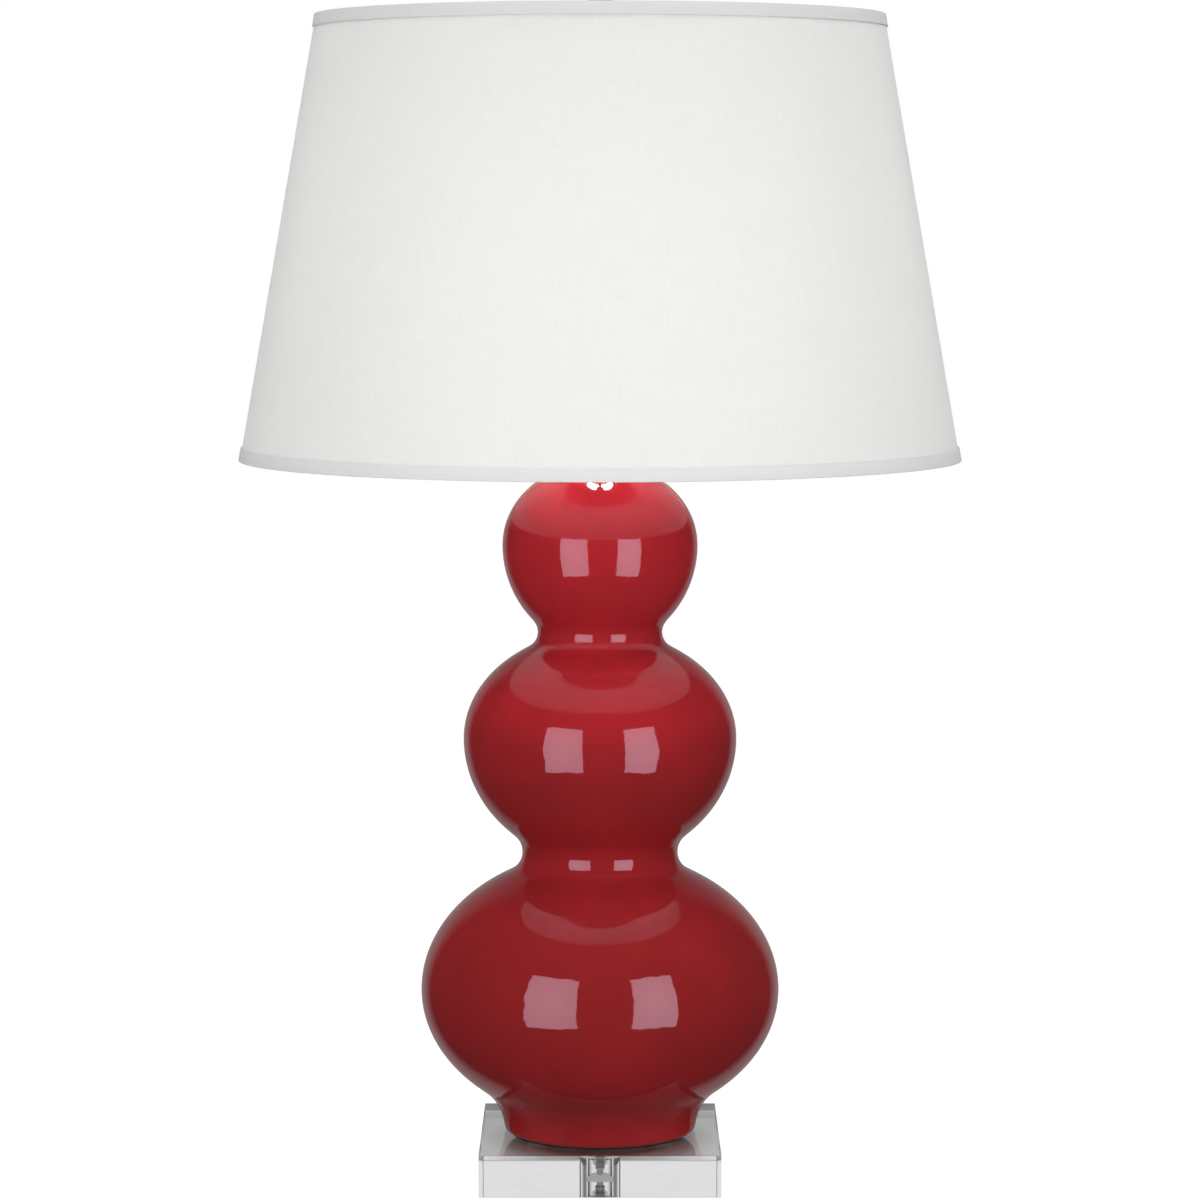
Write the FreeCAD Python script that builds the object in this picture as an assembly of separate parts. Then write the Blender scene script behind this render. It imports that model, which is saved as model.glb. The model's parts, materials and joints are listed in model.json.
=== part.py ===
"""Triple gourd table lamp, in millimetres.

The origin is at the centre of the acrylic block's underside. +Z is up, -Y is the front.
Every height is stacked from the piece below it.
"""
import FreeCAD, Part
import math
import os
from FreeCAD import Vector

# Clear acrylic block
block_width = 169.0
block_height = 29.6
block_bevel = 2.0
counterbore_radius = 15.0
counterbore_depth = 16.6
channel_width = 9.0
channel_height = 9.0

# Ceramic body: each half lobe is a quarter ellipse
wall = 6.5
foot_radius = 68.3
foot_flare = 37.0
bottom_radius = 127.4
bottom_drop = 94.6
bottom_rise = 97.4
lower_waist_radius = 55.0
lower_waist_fillet = 15.8
middle_radius = 96.8
middle_drop = 88.8
middle_rise = 75.9
upper_waist_radius = 43.9
upper_waist_fillet = 12.1
top_radius = 69.0
top_drop = 73.4
top_rise = 58.8
foot_floor = 8.0
foot_edge = 3.5
foot_opening_radius = 40.0
mouth_radius = 14.0
gasket_thickness = 1.0
gasket_width = 12.0

# Threaded pipe and what is clamped on it
pipe_radius = 5.1
pipe_bore_radius = 3.4
pipe_below_nut = 2.4
washer_radius = 12.5
washer_thickness = 1.6
nut_across_flats = 14.3
nut_height = 5.0
sleeve_radius = 2.9
sleeve_bore_radius = 2.2
sleeve_in_pipe = 25.0
sleeve_flange = 1.2
sleeve_floor_gap = 2.0
sleeve_slot_width = 3.0
sleeve_slot_height = 4.0
cap_radius = 22.0
cap_rim = 2.0
cap_height = 8.0
cap_crown = 2.2
cap_land = 1.0
neck_radius = 8.0
neck_length = 22.0
lock_nut_height = 4.4

# Harp, its saddle and its sliding sleeves
strip_width = 12.7
strip_thickness = 1.6
saddle_half_span = 28.0
saddle_bend = 3.5
saddle_shoulder = 8.0
tab_width = 5.0
tab_height = 14.0
harp_wire_radius = 2.0
harp_half_width = 61.0
harp_height = 243.2
harp_crown_half = 26.0
harp_foot_climb = 1.7
harp_crown_climb = 2.2
harp_foot_bend = 25.0
harp_side_bend = 60.0
harp_shoulder_bend = 90.0
harp_crown_bend = 19.0
pad_length = 18.0
pad_width = 11.0
pad_thickness = 3.6
pad_corner = 3.6
stud_radius = 3.1
stud_length = 12.0
harp_sleeve_bore = 2.8
harp_sleeve_wall = 1.5
harp_sleeve_length = 18.0
harp_sleeve_lift = 15.0

# Lamp socket
boss_radius = 7.2
boss_height = 9.0
socket_radius = 17.5
socket_wall = 0.6
cap_dome_height = 8.0
cap_dome_foot = 2.0
cap_dome_step = 3.0
cap_skirt = 4.0
shell_above_dome = 46.0
shell_bead_radius = 0.9
liner_wall = 0.8
switch_body_height = 20.0
screw_shell_wall = 0.5
screw_shell_height = 25.0
contact_radius = 4.0
contact_thickness = 1.5
contact_insulation = 2.0
set_screw_radius = 1.6
set_screw_length = 5.0
terminal_head_radius = 3.0
terminal_head_height = 1.8
terminal_thread_radius = 1.6
terminal_thread_length = 5.0
terminal_margin = 1.0
slot_width = 0.8
slot_depth = 0.7

# Turn switch
stem_radius = 2.2
stem_above_skirt = 4.2
stem_reach = 44.0
knob_radius = 6.2
knob_length = 17.0
knob_cover = 11.0
knob_edge = 2.0
knob_flutes = 12
flute_radius = 0.9

# Light bulb
bulb_thread_radius = 13.1
bulb_thread_depth = 0.7
bulb_thread_pitch = 3.6
bulb_thread_turns = 5
bulb_collar = 5.0
bulb_insulator_height = 3.6
bulb_insulator_land = 0.8
bulb_contact_radius = 4.2
bulb_contact_height = 1.4
bulb_radius = 33.0
bulb_neck_radius = 13.6
bulb_neck_straight = 2.0
bulb_neck_flare = 27.0
bulb_wall = 1.0

# Shade
shade_height = 310.2
shade_top_radius = 199.1
shade_bottom_radius = 254.0
fabric_thickness = 0.7
lining_thickness = 0.8
trim_thickness = 1.2
trim_width = 9.0
trim_return = 6.0
trim_rounding = 0.5
ring_wire_radius = 1.6
arm_wire_radius = 1.6
arm_count = 3
first_arm_angle = 90.0
arm_rise = 5.4
arm_rise_run = 24.0
arm_bend = 8.0
hub_radius = 10.3
hub_thickness = 3.0
hub_hole_radius = 5.55

# Finial
finial_height = 25.3
finial_base_radius = 8.0
finial_base_height = 3.0
finial_waist_radius = 4.4
finial_ball_radius = 9.2

# Clearances
running_clearance = 0.05
seat_gap = 0.2
glue_gap = 0.05
bulb_clearance = 0.6
pipe_clearance = 0.4
wire_hole_clearance = 1.0


def waist_touch(lobe_radius, lobe_rise, waist_radius, fillet):
    """Where a waist's hollow arc touches a half lobe, and how far from the lobe's equator the waist lies.

    The arc's centre lies on the lobe's normal, one fillet away. The angle on the lobe is found by halving.
    """
    low = 0.0
    high = math.pi / 2.0
    for halving in range(60):
        angle = (low + high) / 2.0
        touch = (lobe_radius * math.cos(angle), lobe_rise * math.sin(angle))
        normal = Vector(math.cos(angle) / lobe_radius, 0, math.sin(angle) / lobe_rise).normalize()
        if touch[0] + fillet * normal.x > waist_radius + fillet:
            low = angle
        else:
            high = angle
    return touch, touch[1] + fillet * normal.z


# Heights, from the table upwards
roof_z = counterbore_depth
nut_top_z = roof_z - washer_thickness
nut_bottom_z = nut_top_z - nut_height
pipe_bottom_z = nut_bottom_z - pipe_below_nut
foot_z = block_height + gasket_thickness
lower_waist = (lower_waist_radius, lower_waist_fillet)
upper_waist = (upper_waist_radius, upper_waist_fillet)
foot_touch, foot_reach = waist_touch(bottom_radius, bottom_drop, foot_radius, foot_flare)
bottom_touch, bottom_reach = waist_touch(bottom_radius, bottom_rise, *lower_waist)
middle_low_touch, middle_low_reach = waist_touch(middle_radius, middle_drop, *lower_waist)
middle_high_touch, middle_high_reach = waist_touch(middle_radius, middle_rise, *upper_waist)
top_touch, top_reach = waist_touch(top_radius, top_drop, *upper_waist)
bottom_z = foot_z + foot_reach
lower_waist_z = bottom_z + bottom_reach
middle_z = lower_waist_z + middle_low_reach
upper_waist_z = middle_z + middle_high_reach
top_z = upper_waist_z + top_reach
cap_inner_radius = cap_radius - cap_rim
cap_seat_z = top_z + top_rise * math.sqrt(1.0 - (cap_inner_radius / top_radius) ** 2) + glue_gap
cap_top_z = cap_seat_z + cap_height
lock_nut_z = cap_top_z + neck_length
saddle_z = lock_nut_z + lock_nut_height
socket_z = saddle_z + strip_thickness
shoulder_z = socket_z + saddle_shoulder
tab_top_z = shoulder_z + tab_height
harp_top_z = tab_top_z + harp_height
pad_top_z = harp_top_z + pad_thickness / 2.0
dome_z = socket_z + boss_height
dome_top_z = dome_z + cap_dome_height
switch_body_z = dome_z + cap_dome_foot + socket_wall + glue_gap
switch_body_top_z = switch_body_z + switch_body_height
skirt_top_z = dome_top_z + cap_skirt
stem_z = skirt_top_z + stem_above_skirt
terminal_z = switch_body_top_z - terminal_head_radius - terminal_margin
screw_shell_top_z = switch_body_top_z + screw_shell_height
shell_top_z = dome_top_z + shell_above_dome
contact_top_z = switch_body_top_z + contact_thickness
bulb_z = contact_top_z + seat_gap
insulator_z = bulb_z + bulb_contact_height
thread_z = insulator_z + bulb_insulator_height
thread_top_z = thread_z + bulb_thread_pitch * bulb_thread_turns
glass_z = thread_top_z + bulb_collar
bulb_flare_z = glass_z + bulb_neck_straight
bulb_centre_z = bulb_flare_z + waist_touch(bulb_radius, bulb_radius, bulb_neck_radius, bulb_neck_flare)[1]
hub_z = pad_top_z + seat_gap
hub_top_z = hub_z + hub_thickness
arm_z = harp_top_z + harp_wire_radius + seat_gap + arm_wire_radius
ring_z = arm_z + arm_rise
shade_top_z = ring_z + trim_return / 2.0 + trim_thickness
shade_bottom_z = shade_top_z - shade_height
finial_z = hub_top_z + seat_gap

# Radii that follow from others
pipe_hole_radius = pipe_radius + pipe_clearance
pipe_fit_radius = pipe_radius + running_clearance
screw_shell_radius = bulb_thread_radius + bulb_clearance
collar_radius = hub_hole_radius - running_clearance
fabric_slope = (shade_bottom_radius - shade_top_radius) / shade_height
cap_land_radius = neck_radius + cap_land
shell_radius = socket_radius - socket_wall - glue_gap
liner_radius = shell_radius - socket_wall - glue_gap
switch_body_radius = socket_radius - socket_wall - cap_dome_step


def cylinder(radius, bottom, top):
    return Part.makeCylinder(radius, top - bottom, Vector(0, 0, bottom))


def tube(radius, bore, bottom, top):
    return cylinder(radius, bottom, top).cut(cylinder(bore, bottom, top))


def rod(radius, start, end):
    return Part.makeCylinder(radius, (end - start).Length, start, end - start)


def turned(*outline):
    """Solid turned about Z from an outline of (radius, height) points."""
    corners = [at(point) for point in outline]
    face = Part.Face(Part.makePolygon(corners + corners[:1]))
    return face.revolve(Vector(0, 0, 0), Vector(0, 0, 1), 360)


def turned_edges(edges):
    """Solid turned about Z from curved and straight edges in the XZ plane."""
    face = Part.Face(Part.Wire(edges))
    return face.revolve(Vector(0, 0, 0), Vector(0, 0, 1), 360)


def at(point):
    """Place of a (radius, height) point in the XZ plane."""
    return Vector(point[0], 0, point[1])


def line(start, end):
    return Part.LineSegment(at(start), at(end)).toShape()


def arc(start, middle, end):
    return Part.Arc(at(start), at(middle), at(end)).toShape()


def hexagon(across_flats, bottom, top):
    corner_radius = across_flats / math.sqrt(3.0)
    corners = []
    for side in range(7):
        angle = math.radians(60 * side)
        corners.append(Vector(corner_radius * math.cos(angle), corner_radius * math.sin(angle), bottom))
    return Part.Face(Part.makePolygon(corners)).extrude(Vector(0, 0, top - bottom))


def hex_nut(bottom, top):
    """Hex nut on the pipe, with both ends turned to a cone at the corners."""
    half = nut_across_flats / 2.0
    corner = nut_across_flats / math.sqrt(3.0)
    drop = (corner - half) / 2.0
    low_cone = [(0, bottom), (half, bottom), (corner, bottom + drop)]
    high_cone = [(corner, top - drop), (half, top), (0, top)]
    nut = hexagon(nut_across_flats, bottom, top).common(turned(*low_cone, *high_cone))
    return nut.cut(cylinder(pipe_fit_radius, bottom, top))


def level_edges(shape, height):
    """Edges of a turned shape that lie at a height."""
    near = 0.01
    return [edge for edge in shape.Edges if abs(edge.BoundBox.ZMin - height) + edge.BoundBox.ZLength < near]


def rounded_wire(points, bends):
    """Wire of straight runs with a tangent arc of the given radius at each inner point."""
    edges = []
    start = points[0]
    for index, bend in enumerate(bends):
        corner = points[index + 1]
        before = (points[index] - corner).normalize()
        after = (points[index + 2] - corner).normalize()
        half_angle = before.getAngle(after) / 2.0
        setback = bend / math.tan(half_angle)
        inward = (before + after).normalize()
        middle = corner + inward * (bend / math.sin(half_angle) - bend)
        first = corner + before * setback
        last = corner + after * setback
        edges.append(Part.LineSegment(start, first).toShape())
        edges.append(Part.Arc(first, middle, last).toShape())
        start = last
    edges.append(Part.LineSegment(start, points[-1]).toShape())
    return Part.Wire(edges)


def swept_wire(path, radius):
    """Round wire of the given radius along a path."""
    start = path.OrderedVertexes[0].Point
    heading = path.OrderedEdges[0].tangentAt(path.OrderedEdges[0].FirstParameter)
    section = Part.Wire(Part.makeCircle(radius, start, heading))
    return path.makePipeShell([section], True, False)


def quarter_ellipse(radius, rise, equator_z, pole_radius=0.0):
    """Curve from an equator to a pole, upwards for a positive rise and downwards for a negative one."""
    curve = Part.BezierCurve()
    pole_z = equator_z + rise
    curve.setPoles([at((radius, equator_z)), at((radius, pole_z)), at((pole_radius, pole_z))])
    curve.setWeight(2, math.sqrt(0.5))
    return curve


def half_lobe(radius, rise, equator_z):
    """Half an ellipsoid on its equator."""
    flat = line((0, equator_z), (radius, equator_z))
    axis = line((0, equator_z + rise), (0, equator_z))
    return turned_edges([flat, quarter_ellipse(radius, rise, equator_z).toShape(), axis])


def flare_middle(neck, fillet, neck_z, touch):
    """Middle of a hollow arc that leaves a neck upright and ends at a touching point."""
    turn = math.acos((neck + fillet - touch[0]) / fillet) / 2.0
    return neck + fillet * (1.0 - math.cos(turn)), neck_z + fillet * math.sin(turn)


def gourd_outside():
    """Three stacked lobes on a flared foot, turned from ellipse and circle arcs."""
    foot_top = (foot_touch[0], bottom_z - foot_touch[1])
    lower_start = (bottom_touch[0], bottom_z + bottom_touch[1])
    lower_end = (middle_low_touch[0], middle_z - middle_low_touch[1])
    upper_start = (middle_high_touch[0], middle_z + middle_high_touch[1])
    upper_end = (top_touch[0], top_z - top_touch[1])
    bottom_down = quarter_ellipse(bottom_radius, -bottom_drop, bottom_z)
    bottom_up = quarter_ellipse(bottom_radius, bottom_rise, bottom_z)
    middle_down = quarter_ellipse(middle_radius, -middle_drop, middle_z)
    middle_up = quarter_ellipse(middle_radius, middle_rise, middle_z)
    top_down = quarter_ellipse(top_radius, -top_drop, top_z)
    outline = [
        line((0, foot_z), (foot_radius, foot_z)),
        arc((foot_radius, foot_z), flare_middle(foot_radius, foot_flare, foot_z, foot_touch), foot_top),
        bottom_down.toShape(0.0, bottom_down.parameter(at(foot_top))),
        bottom_up.toShape(0.0, bottom_up.parameter(at(lower_start))),
        arc(lower_start, (lower_waist_radius, lower_waist_z), lower_end),
        middle_down.toShape(0.0, middle_down.parameter(at(lower_end))),
        middle_up.toShape(0.0, middle_up.parameter(at(upper_start))),
        arc(upper_start, (upper_waist_radius, upper_waist_z), upper_end),
        top_down.toShape(0.0, top_down.parameter(at(upper_end))),
        quarter_ellipse(top_radius, top_rise, top_z).toShape(),
        line((0, top_z + top_rise), (0, foot_z)),
    ]
    return turned_edges(outline)


def gourd_inside():
    """Hollow of the body: the lobes and the foot drawn in by the wall, joined by a core through the waists."""
    core_radius = upper_waist_radius - wall
    core = cylinder(core_radius, bottom_z, top_z)
    foot = cylinder(foot_radius - wall, foot_z + foot_floor, bottom_z)
    lobes = [
        half_lobe(bottom_radius - wall, wall - bottom_drop, bottom_z),
        half_lobe(bottom_radius - wall, bottom_rise - wall, bottom_z),
        half_lobe(middle_radius - wall, wall - middle_drop, middle_z),
        half_lobe(middle_radius - wall, middle_rise - wall, middle_z),
        half_lobe(top_radius - wall, wall - top_drop, top_z),
        half_lobe(top_radius - wall, top_rise - wall, top_z),
    ]
    hollow = core.fuse(lobes + [foot]).removeSplitter()
    return above(hollow, foot_z + foot_floor)


def above(shape, height):
    """The part of a shape above a height."""
    box = shape.BoundBox
    corner = Vector(box.XMin, box.YMin, height)
    return shape.common(Part.makeBox(box.XLength, box.YLength, box.ZMax - height, corner))


def make_base_block():
    corner = Vector(-block_width / 2.0, -block_width / 2.0, 0)
    block = Part.makeBox(block_width, block_width, block_height, corner)
    block = block.makeChamfer(block_bevel, block.Edges)
    block = block.cut(cylinder(pipe_hole_radius, 0, block_height))
    block = block.cut(cylinder(counterbore_radius, 0, counterbore_depth))
    start = Vector(-channel_width / 2.0, 0, 0)
    return block.cut(Part.makeBox(channel_width, block_width, channel_height, start))


def make_gourd_body():
    outside = gourd_outside()
    rounded = outside.makeFillet(foot_edge, level_edges(outside, foot_z))
    body = rounded.cut(gourd_inside())
    body = body.cut(cylinder(foot_opening_radius, foot_z, foot_z + foot_floor))
    return body.cut(cylinder(mouth_radius, top_z, top_z + top_rise))


def make_foot_gasket():
    outer = foot_radius - foot_edge
    return tube(outer, outer - gasket_width, block_height, foot_z)


def make_lamp_pipe():
    return tube(pipe_radius, pipe_bore_radius, pipe_bottom_z, socket_z + boss_height - strip_thickness)


def make_base_washer():
    return tube(washer_radius, pipe_fit_radius, nut_top_z, roof_z)


def make_cord_sleeve():
    """Sleeve with a flange under the pipe's end and a slot at the back for the cord's turn."""
    top = pipe_bottom_z + sleeve_in_pipe
    sleeve = cylinder(sleeve_radius, sleeve_floor_gap, top)
    flange = cylinder(pipe_radius, pipe_bottom_z - sleeve_flange, pipe_bottom_z)
    sleeve = sleeve.fuse(flange).removeSplitter()
    sleeve = sleeve.cut(cylinder(sleeve_bore_radius, sleeve_floor_gap, top))
    corner = Vector(-sleeve_slot_width / 2.0, 0, sleeve_floor_gap)
    return sleeve.cut(Part.makeBox(sleeve_slot_width, sleeve_radius, sleeve_slot_height, corner))


def make_vase_cap():
    """Domed cap whose rim rests on the shoulder of the top lobe, round the body's mouth."""
    crown_z = cap_top_z - cap_crown
    inner_rise = crown_z - cap_seat_z
    outline = [
        line((cap_inner_radius, cap_seat_z), (cap_radius, cap_seat_z)),
        line((cap_radius, cap_seat_z), (cap_radius, cap_seat_z + cap_rim)),
        quarter_ellipse(cap_radius, cap_height - cap_rim, cap_seat_z + cap_rim, cap_land_radius).toShape(),
        line((cap_land_radius, cap_top_z), (pipe_hole_radius, cap_top_z)),
        line((pipe_hole_radius, cap_top_z), (pipe_hole_radius, crown_z)),
        line((pipe_hole_radius, crown_z), (cap_land_radius, crown_z)),
        quarter_ellipse(cap_inner_radius, inner_rise, cap_seat_z, cap_land_radius).toShape(),
    ]
    return turned_edges(outline)


def make_lamp_neck():
    return tube(neck_radius, pipe_hole_radius, cap_top_z, lock_nut_z)


def make_harp_saddle():
    """Flat strip with both ends bent up, each narrowed to a tab above its shoulder."""
    inner = saddle_half_span - strip_thickness / 2.0
    outer = saddle_half_span + strip_thickness / 2.0
    under = [(-outer, tab_top_z), (-outer, saddle_z), (outer, saddle_z), (outer, tab_top_z)]
    over = [(inner, tab_top_z), (inner, socket_z), (-inner, socket_z), (-inner, tab_top_z)]
    outer_bend = saddle_bend + strip_thickness
    lower = rounded_wire([Vector(x, 0, z) for x, z in under], [outer_bend, outer_bend])
    upper = rounded_wire([Vector(x, 0, z) for x, z in over], [saddle_bend, saddle_bend])
    edges = lower.Edges + [line(under[-1], over[0])] + upper.Edges + [line(over[-1], under[0])]
    strip = Part.Face(Part.Wire(edges)).extrude(Vector(0, strip_width, 0))
    strip.translate(Vector(0, -strip_width / 2.0, 0))
    trimmed = (strip_width - tab_width) / 2.0
    for corner_y in (-strip_width / 2.0, tab_width / 2.0):
        corner = Vector(-outer, corner_y, shoulder_z)
        strip = strip.cut(Part.makeBox(2 * outer, trimmed, tab_height, corner))
    return strip.cut(cylinder(pipe_fit_radius, saddle_z, socket_z))


def make_socket_cap():
    """Thin spun cap with a threaded boss below and a skirt that holds the shell."""
    bore = pipe_fit_radius
    inside = socket_radius - socket_wall
    step_z = dome_z + cap_dome_foot
    return turned(
        (bore, socket_z),
        (boss_radius, socket_z),
        (boss_radius, dome_z),
        (socket_radius - cap_dome_step, step_z),
        (socket_radius, dome_top_z),
        (socket_radius, skirt_top_z),
        (inside, skirt_top_z),
        (inside, dome_top_z),
        (inside - cap_dome_step, step_z + socket_wall),
        (boss_radius, dome_z + socket_wall),
        (bore, dome_z + socket_wall),
    ).cut(set_screw_hole())


def set_screw_hole():
    height = socket_z + boss_height / 2.0
    start = Vector(0, pipe_radius, height)
    return rod(set_screw_radius + glue_gap, start, start + Vector(0, boss_radius, 0))


def make_socket_set_screw():
    height = socket_z + boss_height / 2.0
    start = Vector(0, pipe_radius + glue_gap, height)
    end = start + Vector(0, set_screw_length, 0)
    screw = rod(set_screw_radius, start, end)
    corner = Vector(-slot_width / 2.0, end.y - slot_depth, height - set_screw_radius)
    return screw.cut(Part.makeBox(slot_width, slot_depth, 2 * set_screw_radius, corner))


def stem_hole(radius):
    """Hole from the axis towards the front, at the switch stem's height."""
    start = Vector(0, 0, stem_z)
    return rod(radius, start, start - Vector(0, stem_reach, 0))


def make_socket_shell():
    """Brass shell with a rolled bead at its mouth."""
    wide_hole = stem_hole(stem_radius + wire_hole_clearance)
    shell = tube(shell_radius, shell_radius - socket_wall, dome_top_z + glue_gap, shell_top_z)
    bead = Part.makeTorus(shell_radius, shell_bead_radius, Vector(0, 0, shell_top_z))
    bead = bead.cut(cylinder(shell_radius - socket_wall, dome_top_z, shell_top_z + shell_bead_radius))
    return shell.fuse(bead).removeSplitter().cut(wide_hole)


def make_socket_liner():
    wide_hole = stem_hole(stem_radius + wire_hole_clearance)
    return tube(liner_radius, liner_radius - liner_wall, dome_top_z + glue_gap, shell_top_z).cut(wide_hole)


def terminal_screw(side):
    """Slotted screw on one side of the switch body, with its axis along X."""
    face_x = switch_body_radius - terminal_head_height
    seat = Vector(side * face_x, 0, terminal_z)
    head = rod(terminal_head_radius, seat, Vector(side * switch_body_radius, 0, terminal_z))
    thread_end = Vector(side * (face_x - terminal_thread_length), 0, terminal_z)
    screw = head.fuse(rod(terminal_thread_radius, thread_end, seat))
    low_x = switch_body_radius - slot_depth if side > 0 else -switch_body_radius
    corner = Vector(low_x, -slot_width / 2.0, terminal_z - terminal_head_radius)
    return screw.cut(Part.makeBox(slot_depth, slot_width, 2 * terminal_head_radius, corner))


def make_terminal_screws():
    return Part.makeCompound([terminal_screw(-1), terminal_screw(1)])


def make_switch_body():
    """Moulded body with a flat on each side for its wire screw, and a hole for the switch stem."""
    body = cylinder(switch_body_radius, switch_body_z, switch_body_top_z)
    face_x = switch_body_radius - terminal_head_height
    flat_height = 2 * (terminal_head_radius + terminal_margin)
    flat_z = switch_body_top_z - flat_height
    for side in (-1, 1):
        low_x = face_x if side > 0 else -switch_body_radius
        corner = Vector(low_x, -switch_body_radius, flat_z)
        body = body.cut(Part.makeBox(terminal_head_height, 2 * switch_body_radius, flat_height, corner))
        inner_end = Vector(side * (face_x - terminal_thread_length), 0, terminal_z)
        face = Vector(side * face_x, 0, terminal_z)
        body = body.cut(rod(terminal_thread_radius + glue_gap, inner_end, face))
    return body.cut(stem_hole(stem_radius + running_clearance))


def make_screw_shell():
    outer = screw_shell_radius + screw_shell_wall
    floor_top_z = switch_body_top_z + screw_shell_wall
    floor = tube(outer, contact_radius + contact_insulation, switch_body_top_z, floor_top_z)
    return floor.fuse(tube(outer, screw_shell_radius, switch_body_top_z, screw_shell_top_z)).removeSplitter()


def make_centre_contact():
    return cylinder(contact_radius, switch_body_top_z, contact_top_z)


def make_switch_stem():
    start = Vector(0, -seat_gap, stem_z)
    return rod(stem_radius, start, Vector(0, -stem_reach, stem_z))


def make_switch_knob():
    """Fluted knob on the stem's outer end, with a rounded face."""
    start = Vector(0, knob_cover - stem_reach, stem_z)
    end = start - Vector(0, knob_length, 0)
    knob = rod(knob_radius, start, end)
    outer_edge = [edge for edge in knob.Edges if edge.BoundBox.YMax < (start.y + end.y) / 2.0]
    knob = knob.makeFillet(knob_edge, outer_edge)
    for flute in range(knob_flutes):
        angle = 2.0 * math.pi * flute / knob_flutes
        offset = Vector(knob_radius * math.cos(angle), 0, knob_radius * math.sin(angle))
        knob = knob.cut(rod(flute_radius, start + offset, end + offset))
    stem_end = Vector(0, -stem_reach - glue_gap, stem_z)
    return knob.cut(rod(stem_radius + glue_gap, start, stem_end))


def make_harp():
    """Wire loop from tab to tab, with a flat pad pressed into its crown."""
    spread = harp_half_width - saddle_half_span
    climb = harp_foot_climb * spread
    setback = harp_foot_bend * math.tan(math.atan2(spread, climb) / 2.0)
    bend_z = shoulder_z + harp_sleeve_length + harp_sleeve_lift + 2.0 * seat_gap + setback
    wide_z = bend_z + climb
    narrow_z = harp_top_z - harp_crown_climb * (harp_half_width - harp_crown_half)
    right = [
        (harp_crown_half, harp_top_z),
        (harp_half_width, narrow_z),
        (harp_half_width, wide_z),
        (saddle_half_span, bend_z),
        (saddle_half_span, tab_top_z),
    ]
    left = [(-x, z) for x, z in reversed(right)]
    points = [Vector(x, 0, z) for x, z in left + right]
    bends = [harp_foot_bend, harp_side_bend, harp_shoulder_bend, harp_crown_bend]
    loop = swept_wire(rounded_wire(points, bends + bends[::-1]), harp_wire_radius)
    corner = Vector(-pad_length / 2.0, -pad_width / 2.0, harp_top_z - pad_thickness / 2.0)
    pad = Part.makeBox(pad_length, pad_width, pad_thickness, corner)
    upright = [edge for edge in pad.Edges if edge.BoundBox.ZLength > pad_thickness / 2.0]
    pad = pad.makeFillet(pad_corner, upright)
    crown_start = Vector(-pad_length / 2.0, 0, harp_top_z)
    crown = rod(2.0 * harp_wire_radius, crown_start, crown_start + Vector(pad_length, 0, 0))
    harp = loop.cut(crown).fuse(pad).removeSplitter()
    return harp.cut(cylinder(stud_radius, harp_top_z - pad_thickness, pad_top_z))


def make_harp_stud():
    """Post riveted through the pad, with a collar that centres the shade."""
    rivet = cylinder(stud_radius - glue_gap, harp_top_z - pad_thickness / 2.0, pad_top_z)
    collar = cylinder(collar_radius, pad_top_z, hub_top_z)
    post = cylinder(stud_radius, hub_top_z, hub_top_z + stud_length)
    return rivet.fuse([collar, post]).removeSplitter()


def make_harp_sleeve(side):
    bottom = shoulder_z + seat_gap
    sleeve = tube(harp_sleeve_bore + harp_sleeve_wall, harp_sleeve_bore, bottom, bottom + harp_sleeve_length)
    sleeve.translate(Vector(side * saddle_half_span, 0, 0))
    return sleeve


def make_bulb_contact():
    return cylinder(bulb_contact_radius, bulb_z, insulator_z)


def make_bulb_insulator():
    land = bulb_contact_radius + bulb_insulator_land
    root = bulb_thread_radius - bulb_thread_depth
    return turned((0, insulator_z), (land, insulator_z), (root, thread_z), (0, thread_z))


def make_bulb_screw_cap():
    """Cap with rounded threads below a plain collar."""
    root = bulb_thread_radius - bulb_thread_depth
    half_pitch = bulb_thread_pitch / 2.0
    edges = [line((0, thread_z), (root, thread_z))]
    for turn in range(bulb_thread_turns):
        base = thread_z + turn * bulb_thread_pitch
        top = base + bulb_thread_pitch
        edges.append(arc((root, base), (bulb_thread_radius, base + half_pitch), (root, top)))
    edges.append(line((root, thread_top_z), (root, glass_z)))
    edges.append(line((root, glass_z), (0, glass_z)))
    edges.append(line((0, glass_z), (0, thread_z)))
    return turned_edges(edges)


def bulb_outline(inset):
    """Ball that flares out of a narrow neck, drawn in by the inset."""
    neck = bulb_neck_radius - inset
    radius = bulb_radius - inset
    flare = bulb_neck_flare + inset
    touch = waist_touch(radius, radius, neck, flare)[0]
    joint = (touch[0], bulb_centre_z - touch[1])
    bottom = glass_z + inset
    top = bulb_centre_z + radius
    return [
        line((0, bottom), (neck, bottom)),
        line((neck, bottom), (neck, bulb_flare_z)),
        arc((neck, bulb_flare_z), flare_middle(neck, flare, bulb_flare_z, touch), joint),
        arc(joint, (radius, bulb_centre_z), (0, top)),
        line((0, top), (0, bottom)),
    ]


def make_bulb_glass():
    return turned_edges(bulb_outline(0.0)).cut(turned_edges(bulb_outline(bulb_wall)))


def outer_at(height):
    """Radius of the linen's outer face at a height."""
    return shade_bottom_radius - trim_thickness - fabric_slope * (height - shade_bottom_z)


def tapered_wall(depth, thickness):
    """Wall of the shade that starts a depth inside the linen's outer face, from rim to rim."""
    low = shade_bottom_z + trim_thickness + glue_gap
    high = shade_top_z - trim_thickness - glue_gap
    return turned(
        (outer_at(low) - depth, low),
        (outer_at(high) - depth, high),
        (outer_at(high) - depth - thickness, high),
        (outer_at(low) - depth - thickness, low),
    )


def make_shade_fabric():
    return tapered_wall(0.0, fabric_thickness)


def make_shade_lining():
    return tapered_wall(fabric_thickness + glue_gap, lining_thickness)


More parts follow.
